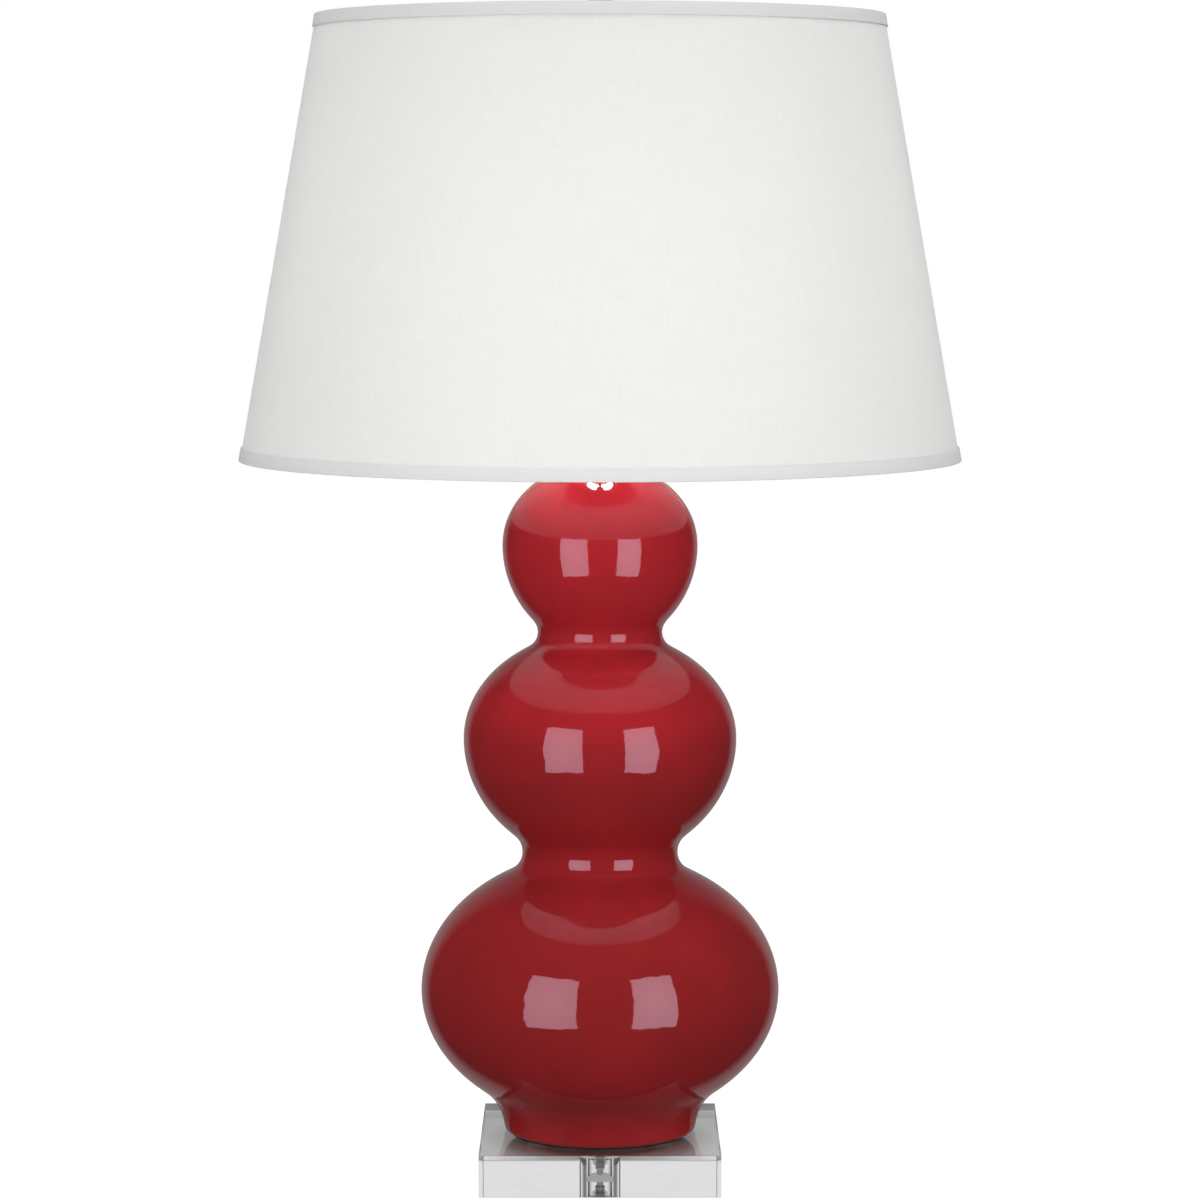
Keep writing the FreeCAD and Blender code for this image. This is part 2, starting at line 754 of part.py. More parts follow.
def trim_at(rim_z, inward):
    """Binding folded over a rim: a wide outer leg, a narrow inner one and the fold between them."""
    depth = fabric_thickness + lining_thickness + 2 * glue_gap
    fold = rim_z + inward * trim_thickness
    outer_end = rim_z + inward * trim_width
    inner_end = fold + inward * trim_return
    outline = [
        (outer_at(outer_end) + glue_gap, outer_end),
        (outer_at(outer_end) + trim_thickness, outer_end),
        (outer_at(rim_z) + trim_thickness, rim_z),
        (outer_at(rim_z) - depth - trim_thickness, rim_z),
        (outer_at(inner_end) - depth - trim_thickness, inner_end),
        (outer_at(inner_end) - depth, inner_end),
        (outer_at(fold) - depth, fold),
        (outer_at(fold) + glue_gap, fold),
    ]
    binding = turned(*outline)
    outer_leg = outer_at(outer_end) + trim_thickness / 2.0
    outer_corner = [edge for edge in level_edges(binding, outer_end) if edge.BoundBox.XMax > outer_leg]
    return binding.makeFillet(trim_rounding, level_edges(binding, rim_z) + outer_corner)


def make_shade_top_trim():
    return trim_at(shade_top_z, -1)


def make_shade_bottom_trim():
    return trim_at(shade_bottom_z, 1)


def ring_radius(height):
    """Centre radius of a wire ring that lies inside the binding's inner leg."""
    inside = outer_at(height) - fabric_thickness - lining_thickness - trim_thickness - 3 * glue_gap
    return inside - ring_wire_radius - ring_wire_radius * fabric_slope


def make_shade_top_ring():
    return Part.makeTorus(ring_radius(ring_z), ring_wire_radius, Vector(0, 0, ring_z))


def make_shade_bottom_ring():
    height = shade_bottom_z + trim_thickness + trim_return / 2.0
    return Part.makeTorus(ring_radius(height), ring_wire_radius, Vector(0, 0, height))


def make_spider_hub():
    return tube(hub_radius, hub_hole_radius, hub_z, hub_top_z)


def make_spider_arms():
    """Arms welded between hub and ring, level from the hub and bent up near the ring."""
    end = ring_radius(ring_z) - ring_wire_radius - glue_gap
    knee = end - arm_rise_run
    points = [(hub_radius + glue_gap, arm_z), (knee, arm_z), (end - arm_bend, ring_z), (end, ring_z)]
    path = rounded_wire([Vector(x, 0, z) for x, z in points], [arm_bend, arm_bend])
    arms = []
    for index in range(arm_count):
        arm = swept_wire(path, arm_wire_radius)
        arm.rotate(Vector(0, 0, 0), Vector(0, 0, 1), first_arm_angle + 360.0 * index / arm_count)
        arms.append(arm)
    return Part.makeCompound(arms)


def make_finial():
    """Turned knob: a foot, a narrow waist and a ball, with a blind bore for the stud."""
    ball_z = finial_z + finial_height - finial_ball_radius
    foot_top = finial_z + finial_base_height
    meet_angle = math.asin(finial_waist_radius / finial_ball_radius)
    meet_z = ball_z - finial_ball_radius * math.cos(meet_angle)
    waist_z = (foot_top + meet_z) / 2.0
    edges = [
        line((0, finial_z), (finial_base_radius, finial_z)),
        line((finial_base_radius, finial_z), (finial_base_radius, finial_z + finial_base_height / 2.0)),
        arc(
            (finial_base_radius, finial_z + finial_base_height / 2.0),
            ((finial_base_radius + finial_waist_radius) / 2.0, foot_top),
            (finial_waist_radius, waist_z),
        ),
        line((finial_waist_radius, waist_z), (finial_waist_radius, meet_z)),
        arc((finial_waist_radius, meet_z), (finial_ball_radius, ball_z), (0, ball_z + finial_ball_radius)),
        line((0, ball_z + finial_ball_radius), (0, finial_z)),
    ]
    bore = cylinder(stud_radius + running_clearance, finial_z, finial_z + stud_length + seat_gap)
    return turned_edges(edges).cut(bore)


pieces = {
    "base_block": make_base_block(),
    "foot_gasket": make_foot_gasket(),
    "gourd_body": make_gourd_body(),
    "lamp_pipe": make_lamp_pipe(),
    "base_washer": make_base_washer(),
    "base_nut": hex_nut(nut_bottom_z, nut_top_z),
    "cord_sleeve": make_cord_sleeve(),
    "vase_cap": make_vase_cap(),
    "lamp_neck": make_lamp_neck(),
    "body_lock_nut": hex_nut(lock_nut_z, saddle_z),
    "harp_saddle": make_harp_saddle(),
    "socket_cap": make_socket_cap(),
    "socket_set_screw": make_socket_set_screw(),
    "socket_shell": make_socket_shell(),
    "socket_liner": make_socket_liner(),
    "switch_body": make_switch_body(),
    "terminal_screws": make_terminal_screws(),
    "screw_shell": make_screw_shell(),
    "centre_contact": make_centre_contact(),
    "switch_stem": make_switch_stem(),
    "switch_knob": make_switch_knob(),
    "harp": make_harp(),
    "harp_stud": make_harp_stud(),
    "harp_sleeve_left": make_harp_sleeve(-1),
    "harp_sleeve_right": make_harp_sleeve(1),
    "bulb_contact": make_bulb_contact(),
    "bulb_insulator": make_bulb_insulator(),
    "bulb_screw_cap": make_bulb_screw_cap(),
    "bulb_glass": make_bulb_glass(),
    "shade_fabric": make_shade_fabric(),
    "shade_lining": make_shade_lining(),
    "shade_top_trim": make_shade_top_trim(),
    "shade_bottom_trim": make_shade_bottom_trim(),
    "shade_top_ring": make_shade_top_ring(),
    "shade_bottom_ring": make_shade_bottom_ring(),
    "spider_hub": make_spider_hub(),
    "spider_arms": make_spider_arms(),
    "finial": make_finial(),
}

os.makedirs("parts", exist_ok=True)
for name, shape in pieces.items():
    shape.exportStep("parts/" + name + ".step")
    box = shape.optimalBoundingBox()
    size = "%.1f x %.1f x %.1f" % (box.XLength, box.YLength, box.ZLength)
    print(name, "solids", len(shape.Solids), "valid", shape.isValid(), "size", size, "from z %.1f" % box.ZMin)
print("shade from z %.1f to %.1f, bulb centre at z %.1f" % (shade_bottom_z, shade_top_z, bulb_centre_z))
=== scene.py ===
# %% [markdown]
# # A triple gourd table lamp
# The lamp is a glossy ruby ceramic body of three stacked lobes. It stands on a clear acrylic block, under a
# tapered white linen shade that is lit from inside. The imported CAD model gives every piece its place, so this
# script only gives the pieces their looks. Pieces whose CAD shape is already right keep it and get a finish.
# The ceramic, the block, the cloth and the bulb are modelled again, because their curves, clear edges and weave
# carry the picture.

# %% Load the frame
import json
import math

import bmesh
import bpy
from mathutils import Matrix, Vector


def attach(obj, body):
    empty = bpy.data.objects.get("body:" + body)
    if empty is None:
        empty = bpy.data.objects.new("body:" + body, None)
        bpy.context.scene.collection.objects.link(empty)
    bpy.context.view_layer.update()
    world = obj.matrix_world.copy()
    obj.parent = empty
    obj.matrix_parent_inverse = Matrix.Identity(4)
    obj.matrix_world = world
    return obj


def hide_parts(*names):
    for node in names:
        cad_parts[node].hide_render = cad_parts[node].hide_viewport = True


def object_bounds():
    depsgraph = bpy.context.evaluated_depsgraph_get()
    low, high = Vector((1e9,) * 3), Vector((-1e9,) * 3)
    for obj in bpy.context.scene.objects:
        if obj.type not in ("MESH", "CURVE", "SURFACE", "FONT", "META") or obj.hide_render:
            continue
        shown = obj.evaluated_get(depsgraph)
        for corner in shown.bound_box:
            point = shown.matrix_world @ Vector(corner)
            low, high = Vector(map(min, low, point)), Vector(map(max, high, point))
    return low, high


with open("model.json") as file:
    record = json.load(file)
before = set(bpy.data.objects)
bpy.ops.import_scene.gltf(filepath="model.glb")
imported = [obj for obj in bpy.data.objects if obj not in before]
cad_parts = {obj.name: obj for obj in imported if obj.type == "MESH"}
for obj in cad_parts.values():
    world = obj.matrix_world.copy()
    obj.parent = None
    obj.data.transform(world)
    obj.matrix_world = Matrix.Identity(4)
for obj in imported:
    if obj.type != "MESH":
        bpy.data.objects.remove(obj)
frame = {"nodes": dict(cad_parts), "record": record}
cad_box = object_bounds()
nodes = frame["nodes"]
print("CAD nodes:", len(nodes), "height:", round(cad_box[1].z - cad_box[0].z, 4))

# %% [markdown]
# # Camera
# The picture was taken with a long lens from almost 3 m away, a little above the lower rim of the shade. A long
# lens keeps the rims nearly flat. The camera could be aimed with a constraint, but a plain location and one
# turn about X are easier to read, and other views can move such a camera freely.

# %% Camera
FOCAL_LENGTH, SENSOR_WIDTH = 123.02, 36.0
CAMERA_PLACE = (0.0, -2.8868, 0.6843)
CAMERA_TILT = 84.57

camera_data = bpy.data.cameras.new("camera")
camera_data.lens = FOCAL_LENGTH
camera_data.sensor_width = SENSOR_WIDTH
camera = bpy.data.objects.new("camera", camera_data)
camera.location = CAMERA_PLACE
camera.rotation_euler = (math.radians(CAMERA_TILT), 0.0, 0.0)
bpy.context.scene.collection.objects.link(camera)
bpy.context.scene.camera = camera
print("camera", FOCAL_LENGTH, "mm at", CAMERA_PLACE)

# %% [markdown]
# # Shader helpers
# Every finish below is a small node tree, and a few helpers keep the cells short. They add a node, feed a socket
# with a constant or with another node, and start a material with its Principled shader. The second cell holds the
# steps that come back again and again: arithmetic, a ramp between two values, a blend of two values or colours by
# a mask, a bumpy surface, and a mix of two shaders.

# %% Shader helpers
def add_node(tree, kind, **inputs):
    """New node with constants on its named inputs, whose spaces are written as underscores."""
    node = tree.nodes.new(kind)
    for name, value in inputs.items():
        node.inputs[name.replace("_", " ")].default_value = value
    return node


def join(tree, output, target):
    tree.links.new(output, target)


def feed(tree, value, target):
    """Joins another node's output to a socket, or sets a constant on it."""
    if isinstance(value, bpy.types.NodeSocket):
        join(tree, value, target)
    else:
        target.default_value = value


def start_material(name, **inputs):
    """New material, its tree and its Principled shader, with constants on the shader's named inputs."""
    material = bpy.data.materials.new(name)
    material.use_nodes = True
    tree = material.node_tree
    shader = tree.nodes["Principled BSDF"]
    for key, value in inputs.items():
        shader.inputs[key.replace("_", " ")].default_value = value
    return material, tree, shader


print("shader helpers ready")

# %% Common steps
def math_node(tree, operation, *values):
    """Result of one sum on constants or on other nodes."""
    node = tree.nodes.new("ShaderNodeMath")
    node.operation = operation
    for value, target in zip(values, node.inputs):
        feed(tree, value, target)
    return node.outputs[0]


def ramp(tree, value, span, low, high):
    """Goes from a low to a high value while another value crosses a span."""
    node = add_node(tree, "ShaderNodeMapRange", From_Min=span[0], From_Max=span[1])
    join(tree, value, node.inputs["Value"])
    feed(tree, low, node.inputs["To Min"])
    feed(tree, high, node.inputs["To Max"])
    return node.outputs["Result"]


def blend(tree, mask, usual, special, kind="FLOAT"):
    """Usual value or colour where the mask is 0, and the special one where it is 1."""
    node = tree.nodes.new("ShaderNodeMix")
    node.data_type = kind
    feed(tree, mask, node.inputs["Factor"])
    feed(tree, usual, node.inputs["A"])
    feed(tree, special, node.inputs["B"])
    return node.outputs["Result"]


def add_bump(tree, shader, height, strength, depth):
    """Gives a shader a bumpy surface."""
    bump = add_node(tree, "ShaderNodeBump", Strength=strength, Distance=depth)
    join(tree, height, bump.inputs["Height"])
    join(tree, bump.outputs["Normal"], shader.inputs["Normal"])


def mix_shaders(tree, mask, usual, special):
    """Material that is the usual shader where the mask is 0, and the special one where it is 1."""
    mix = tree.nodes.new("ShaderNodeMixShader")
    feed(tree, mask, mix.inputs["Fac"])
    join(tree, usual.outputs[0], mix.inputs[1])
    join(tree, special.outputs[0], mix.inputs[2])
    join(tree, mix.outputs[0], tree.nodes["Material Output"].inputs["Surface"])


print("common steps ready")

# %% [markdown]
# # Studio
# The lamp stands on a white sweep. Two tall softboxes stand in front of it, left and right, and the glaze mirrors
# them as two pale panes on every lobe. Two high panels and one behind add light without a mirror image, and a dim
# card far behind shows in mirrors only. Area lights are used because their shape is what the glossy pieces reflect.
#
# World and floor look different to each kind of ray. The world is white where the camera sees it and dim where the
# glaze mirrors it, as in a darkened studio, with a paler backdrop that makes the thin grey line along the outline.
# The floor has no mirror image and is open from below, so the lamp's underside can be looked at. Where it is seen
# through the block, it carries a painted shadow under the foot, and painted light in the recess and beyond the
# block.

# %% World
WHITE = (1.0, 1.0, 1.0, 1.0)
FILL_LIGHT = 0.42
MIRRORED_ROOM, MIRRORED_BACKDROP, MIRRORED_CEILING = 0.03, 0.30, 0.06
FADE_UP, FADE_DOWN, MIRRORED_EDGE = (0.1, 0.7), (-0.92, -0.7), (0.76, 0.88)
SIDES_THROUGH, BACKDROP_THROUGH, THROUGH_EDGE = 0.20, 0.78, (0.3, 0.8)

world = bpy.data.worlds.new("studio")
bpy.context.scene.world = world
world.use_nodes = True
tree = world.node_tree
tree.nodes.clear()
towards = tree.nodes.new("ShaderNodeSeparateXYZ")
join(tree, tree.nodes.new("ShaderNodeTexCoord").outputs["Generated"], towards.inputs[0])
across = math_node(tree, "POWER", towards.outputs["X"], 2.0)
along = math_node(tree, "POWER", towards.outputs["Y"], 2.0)
level = math_node(tree, "SQRT", math_node(tree, "ADD", across, along))
behind = math_node(tree, "DIVIDE", towards.outputs["Y"], level)
backdrop = ramp(tree, towards.outputs["Z"], FADE_UP, MIRRORED_BACKDROP, MIRRORED_CEILING)
backdrop = ramp(tree, towards.outputs["Z"], FADE_DOWN, MIRRORED_ROOM, backdrop)
mirrored = ramp(tree, behind, MIRRORED_EDGE, MIRRORED_ROOM, backdrop)
through = ramp(tree, behind, THROUGH_EDGE, SIDES_THROUGH, BACKDROP_THROUGH)
path = tree.nodes.new("ShaderNodeLightPath")
strength = blend(tree, path.outputs["Is Glossy Ray"], FILL_LIGHT, mirrored)
strength = blend(tree, path.outputs["Is Transmission Ray"], strength, through)
strength = blend(tree, path.outputs["Is Camera Ray"], strength, 1.0)
sky = add_node(tree, "ShaderNodeBackground", Color=WHITE)
join(tree, strength, sky.inputs["Strength"])
join(tree, sky.outputs[0], tree.nodes.new("ShaderNodeOutputWorld").inputs["Surface"])
bpy.context.scene.view_settings.view_transform = "Standard"
print("world strength for light", FILL_LIGHT)

# %% Lights
CLOTH_CENTRE, CLOTH_REACH = (0.5, 0.5, 0.0), 0.6
CLOTH_MIDDLE, CLOTH_CORNER = 1.08, 0.9


def add_panel(name, degrees, distance, height, size, radiance, tilt=0.0, mirrored=True, through=False):
    """Rectangular light at a compass angle from the front, turned to the lamp's axis and tilted down.

    Its cloth is a little brighter in the middle, and only its first mirror image shows.
    """
    light = bpy.data.lights.new(name, "AREA")
    light.shape = "RECTANGLE"
    light.size, light.size_y = size
    light.energy = radiance * math.pi * size[0] * size[1]
    light.use_nodes = True
    tree = light.node_tree
    off_centre = tree.nodes.new("ShaderNodeVectorMath")
    off_centre.operation = "DISTANCE"
    off_centre.inputs[1].default_value = CLOTH_CENTRE
    join(tree, tree.nodes.new("ShaderNodeNewGeometry").outputs["Parametric"], off_centre.inputs[0])
    cloth = ramp(tree, off_centre.outputs["Value"], (0.0, CLOTH_REACH), CLOTH_MIDDLE, CLOTH_CORNER)
    path = tree.nodes.new("ShaderNodeLightPath")
    first_image = math_node(tree, "LESS_THAN", path.outputs["Glossy Depth"], 1.5)
    glow = math_node(tree, "MULTIPLY", cloth, first_image)
    join(tree, glow, tree.nodes["Emission"].inputs["Strength"])
    panel = bpy.data.objects.new(name, light)
    angle = math.radians(degrees)
    panel.location = (distance * math.sin(angle), -distance * math.cos(angle), height)
    panel.rotation_euler = (math.radians(90.0 - tilt), 0.0, angle)
    panel.visible_transmission = through
    panel.visible_glossy = mirrored
    bpy.context.scene.collection.objects.link(panel)
    print(name, "at", degrees, "degrees,", round(light.energy, 1), "W")


# Name, compass angle, distance, height, size and radiance
add_panel("softbox_left", -30.4, 1.41, 0.33, (0.83, 1.30), 3.25, through=True)
add_panel("softbox_right", 34.3, 1.41, 0.33, (0.71, 1.30), 3.45, through=True)
add_panel("high_panel_left", -75.0, 1.3, 2.3, (1.2, 1.2), 3.2, tilt=51.0, mirrored=False)
add_panel("high_panel_right", 75.0, 1.3, 2.3, (1.2, 1.2), 3.8, tilt=51.0, mirrored=False)
add_panel("back_panel", 180.0, 2.0, 0.6, (1.0, 1.4), 2.4, mirrored=False)
add_panel("back_card", 180.0, 6.0, 1.40, (1.2, 0.8), 0.17)

# %% Floor
FLOOR_RADIUS, FLOOR_GAP = 8.0, 0.0002
FLOOR_BOUNCE, SWEEP_GLOW = 0.15, 0.95
FLOOR_PAINTED_SHADOW, FLOOR_SEEN_THROUGH, PAINTED_SHADOW_SPAN = 0.12, 0.75, (0.055, 0.085)
UNDER_RECESS, RECESS_GLOW = 0.0148, 0.33
FAR_FLOOR_SPAN, FAR_GLOW = (0.10, 0.14), 0.38

bm = bmesh.new()
bmesh.ops.create_circle(bm, cap_ends=True, segments=96, radius=FLOOR_RADIUS)
floor_mesh = bpy.data.meshes.new("floor")
bm.to_mesh(floor_mesh)
bm.free()
floor = bpy.data.objects.new("floor", floor_mesh)
floor.location.z = cad_box[0].z - FLOOR_GAP
floor.visible_glossy = False
floor.visible_shadow = False
bpy.context.scene.collection.objects.link(floor)

floor_paint, tree, shader = start_material(
    "floor_paint", Roughness=0.9, Specular_IOR_Level=0.0, Emission_Color=WHITE
)
path = tree.nodes.new("ShaderNodeLightPath")
seen_through = path.outputs["Is Transmission Ray"]
unmirrored = math_node(tree, "LESS_THAN", path.outputs["Glossy Depth"], 0.5)
straight_through = math_node(tree, "MULTIPLY", seen_through, unmirrored)
from_axis = tree.nodes.new("ShaderNodeVectorMath")
from_axis.operation = "LENGTH"
join(tree, tree.nodes.new("ShaderNodeTexCoord").outputs["Object"], from_axis.inputs[0])
distance = from_axis.outputs["Value"]
# Seen straight through the block, the floor gets a painted shadow under the foot
floor_with_painted_shadow = ramp(tree, distance, PAINTED_SHADOW_SPAN, FLOOR_PAINTED_SHADOW, FLOOR_SEEN_THROUGH)
bounce = blend(tree, straight_through, FLOOR_BOUNCE, floor_with_painted_shadow)
join(tree, bounce, shader.inputs["Base Color"])
# Painted light: where the block shows it, the floor glows in the recess and beyond the block
in_recess = math_node(tree, "LESS_THAN", distance, UNDER_RECESS)
seen_in_recess = math_node(tree, "MULTIPLY", in_recess, straight_through)
recess_glow = math_node(tree, "MULTIPLY", seen_in_recess, RECESS_GLOW)
far_floor = ramp(tree, distance, FAR_FLOOR_SPAN, 0.0, FAR_GLOW)
far_glow = math_node(tree, "MULTIPLY", seen_through, far_floor)
sweep_glow = math_node(tree, "MULTIPLY", path.outputs["Is Camera Ray"], SWEEP_GLOW)
glow = math_node(tree, "ADD", math_node(tree, "ADD", recess_glow, far_glow), sweep_glow)
join(tree, glow, shader.inputs["Emission Strength"])
from_below = tree.nodes.new("ShaderNodeNewGeometry").outputs["Backfacing"]
mix_shaders(tree, from_below, shader, tree.nodes.new("ShaderNodeBsdfTransparent"))
floor_mesh.materials.append(floor_paint)
print("floor radius", FLOOR_RADIUS)

# %% [markdown]
# # Shared effects
# Two effects return in several finishes. Handling marks are the faint smudges and fine ripples that keep glaze,
# metal and plastic from looking like flat colour. The weave is made of warp and weft threads with thicker slubs,
# laid out on the flat cut of the cloth. Each is a node group with named inputs, so a finish sets its own scale.

# %% Handling marks
NOISE_SPAN = (0.3, 0.7)
RIPPLES_PER_SMUDGE = 5.0


def start_group(name, inputs, outputs):
    """New node group with named sockets, and the nodes that stand for its inputs and outputs."""
    group = bpy.data.node_groups.new(name, "ShaderNodeTree")
    for socket, kind, value in inputs:
        made = group.interface.new_socket(name=socket, in_out="INPUT", socket_type=kind)
        if value is not None:
            made.default_value = value
    for socket, kind in outputs:
        group.interface.new_socket(name=socket, in_out="OUTPUT", socket_type=kind)
    return group, group.nodes.new("NodeGroupInput"), group.nodes.new("NodeGroupOutput")


def use_group(tree, group, vector, **inputs):
    """Places a group in a tree, on a coordinate and with its own constants."""
    node = tree.nodes.new("ShaderNodeGroup")
    node.node_tree = group
    join(tree, vector, node.inputs["Vector"])
    for name, value in inputs.items():
        node.inputs[name.replace("_", " ")].default_value = value
    return node


marks, given, made = start_group(
    "handling_marks",
    [
        ("Vector", "NodeSocketVector", None),
        ("Scale", "NodeSocketFloat", 20.0),
        ("Low", "NodeSocketFloat", 0.1),
        ("High", "NodeSocketFloat", 0.2),
    ],
    [("Roughness", "NodeSocketFloat"), ("Mask", "NodeSocketFloat"), ("Height", "NodeSocketFloat")],
)
smudge = add_node(marks, "ShaderNodeTexNoise", Detail=6.0, Roughness=0.6, Distortion=0.4)
join(marks, given.outputs["Vector"], smudge.inputs["Vector"])
join(marks, given.outputs["Scale"], smudge.inputs["Scale"])
spread = ramp(marks, smudge.outputs["Fac"], NOISE_SPAN, given.outputs["Low"], given.outputs["High"])
join(marks, spread, made.inputs["Roughness"])
join(marks, smudge.outputs["Fac"], made.inputs["Mask"])
ripple = add_node(marks, "ShaderNodeTexNoise", Detail=2.0, Roughness=0.5)
join(marks, given.outputs["Vector"], ripple.inputs["Vector"])
fineness = math_node(marks, "MULTIPLY", given.outputs["Scale"], RIPPLES_PER_SMUDGE)
join(marks, fineness, ripple.inputs["Scale"])
join(marks, ripple.outputs["Fac"], made.inputs["Height"])
print("group", marks.name)

# %% Linen weave
SLUB_FINE, SLUB_LONG = 900.0, 45.0
THREAD_TONE, THREAD_HEIGHT = 0.02, 0.35

weave, given, made = start_group(
    "linen_weave",
    [
        ("Vector", "NodeSocketVector", None),
        ("Threads", "NodeSocketFloat", 1500.0),
        ("Slub", "NodeSocketFloat", 0.1),
    ],
    [("Tone", "NodeSocketFloat"), ("Height", "NodeSocketFloat")],
)
across = weave.nodes.new("ShaderNodeSeparateXYZ")
join(weave, given.outputs["Vector"], across.inputs[0])


def thread_wave(axis):
    """Rounded threads side by side along one direction of the cut."""
    turns = math_node(weave, "MULTIPLY", across.outputs[axis], given.outputs["Threads"])
    return math_node(weave, "SINE", math_node(weave, "MULTIPLY", turns, math.pi))


def slub_streaks(stretch):
    """Long thin spots, where the spun thread is thicker."""
    place = weave.nodes.new("ShaderNodeVectorMath")
    place.operation = "MULTIPLY"
    join(weave, given.outputs["Vector"], place.inputs[0])
    place.inputs[1].default_value = stretch
    streaks = add_node(weave, "ShaderNodeTexNoise", Scale=1.0, Detail=3.0, Roughness=0.65)
    join(weave, place.outputs[0], streaks.inputs["Vector"])
    return streaks.outputs["Fac"]


crossing = math_node(weave, "MULTIPLY", thread_wave("X"), thread_wave("Y"))
upright_slubs = slub_streaks((SLUB_FINE, SLUB_LONG, 1.0))
level_slubs = slub_streaks((SLUB_LONG, SLUB_FINE, 1.0))
slubs = math_node(weave, "SUBTRACT", math_node(weave, "ADD", upright_slubs, level_slubs), 1.0)
slub_tone = math_node(weave, "MULTIPLY", slubs, given.outputs["Slub"])
thread_tone = math_node(weave, "MULTIPLY", crossing, THREAD_TONE)
tone = math_node(weave, "ADD", math_node(weave, "ADD", slub_tone, thread_tone), 1.0)
join(weave, tone, made.inputs["Tone"])
thread_height = math_node(weave, "MULTIPLY", crossing, THREAD_HEIGHT)
join(weave, math_node(weave, "ADD", thread_height, slubs), made.inputs["Height"])
print("group", weave.name)

# %% [markdown]
# # Turned pieces
# The body, the bulb and the bindings are round, as if made on a wheel. In Blender a wheel is the spin operator:
# one vertex turned about a point leaves an arc behind, and a whole outline turned about Z becomes a surface.
# An ellipse is an arc that is scaled afterwards, so the lobes need no list of points. Outlines are drawn in
# millimetres and scaled when they are turned.

# %% Turning helpers
MILLIMETRE = 0.001
JOINT_GAP, SAME_PLACE = 0.00003, 0.000001


def turn_vertex(bm, centre, radius, start, end, steps, flatten=1.0):
    """Arc of edges in the XZ plane, from a start to an end angle in degrees, flattened along Z."""
    angle = math.radians(start)
    first = bm.verts.new((centre[0] + radius * math.cos(angle), 0.0, centre[1] + radius * math.sin(angle)))
    middle = Vector((centre[0], 0.0, centre[1]))
    before = set(bm.verts) - {first}
    bmesh.ops.spin(
        bm, geom=[first], cent=middle, axis=(0.0, -1.0, 0.0), angle=math.radians(end - start), steps=steps
    )
    arc = [vertex for vertex in bm.verts if vertex not in before]
    bmesh.ops.scale(bm, vec=(1.0, 1.0, flatten), space=Matrix.Translation(-middle), verts=arc)


def draw_line(bm, *corners):
    """Straight edges from corner to corner in the XZ plane."""
    for start, end in zip(corners, corners[1:]):
        first = bm.verts.new((start[0], 0.0, start[1]))
        last = bm.verts.new((end[0], 0.0, end[1]))
        bm.edges.new((first, last))


def turn_outline(bm, steps):
    """Closes the outline's joints, turns it once about Z and points its faces outwards."""
    bmesh.ops.scale(bm, vec=(MILLIMETRE,) * 3, verts=bm.verts)
    bmesh.ops.remove_doubles(bm, verts=bm.verts, dist=JOINT_GAP)
    bmesh.ops.spin(
        bm,
        geom=bm.verts[:] + bm.edges[:],
        cent=(0.0, 0.0, 0.0),
        axis=(0.0, 0.0, 1.0),
        angle=math.tau,
        steps=steps,
        use_merge=True,
    )
    bmesh.ops.remove_doubles(bm, verts=bm.verts, dist=SAME_PLACE)
    bmesh.ops.recalc_face_normals(bm, faces=bm.faces)


def finish_piece(name, bm, body, slot, material, *stands_for):
    """Object at the origin that rides on a body and stands for its CAD nodes."""
    mesh = bpy.data.meshes.new(name)
    bm.to_mesh(mesh)
    bm.free()
    mesh.shade_smooth()
    mesh.materials.append(material)
    piece = bpy.data.objects.new(name, mesh)
    bpy.context.scene.collection.objects.link(piece)
    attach(piece, body)
    if stands_for:
        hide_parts(*stands_for)
    print(name, "faces:", len(mesh.polygons), "on", body)
    return piece


print("turning helpers ready")

# %% [markdown]
# # Ruby glaze
# The glaze is a thick red glass over a pale body. A curve over the height sets its colour. Part of it is the
# glaze's
# real depth: the glaze thins over each shoulder and pools darker towards the foot. The rest is painted light, which
# makes the lobes' crowns lighter where the bulb lights them from above, and painted shade lower down. Its surface
# is smooth but never quite flat, so the panes of light it mirrors have soft, slightly wavy edges. The foot is wiped
# bare underneath before firing.

# %% Ruby glaze
GLAZE_THIN_AND_LIT = (0.50, 0.0200, 0.0290, 1.0)
GLAZE_POOLED_AND_SHADED = (0.225, 0.0135, 0.0150, 1.0)
GLAZED_HEIGHT = 0.5
# How thin the glaze is at each share of that height. The same values paint light on the crowns and shade lower down
THINNING_AND_PAINTED_LIGHT = [
    (0.0, 0.0),
    (0.16, 0.09),
    (0.26, 0.0),
    (0.40, 0.18),
    (0.46, 0.22),
    (0.54, 0.10),
    (0.62, 0.22),
    (0.72, 0.64),
    (0.78, 0.42),
    (0.90, 0.66),
    (1.0, 1.0),
]
CLOUD_DRIFT = 0.12
BARE_CLAY, BARE_SPAN = (0.55, 0.42, 0.33, 1.0), (0.03062, 0.03075)
WAVINESS, WAVE_DEPTH = 0.20, 0.0008

ruby_glaze, tree, shader = start_material("ruby_glaze", IOR=1.6, Specular_Tint=(1.0, 0.82, 1.0, 1.0))
place = tree.nodes.new("ShaderNodeTexCoord").outputs["Object"]
skin = use_group(tree, marks, place, Scale=13.0, Low=0.025, High=0.06)
height = tree.nodes.new("ShaderNodeSeparateXYZ")
join(tree, place, height.inputs[0])
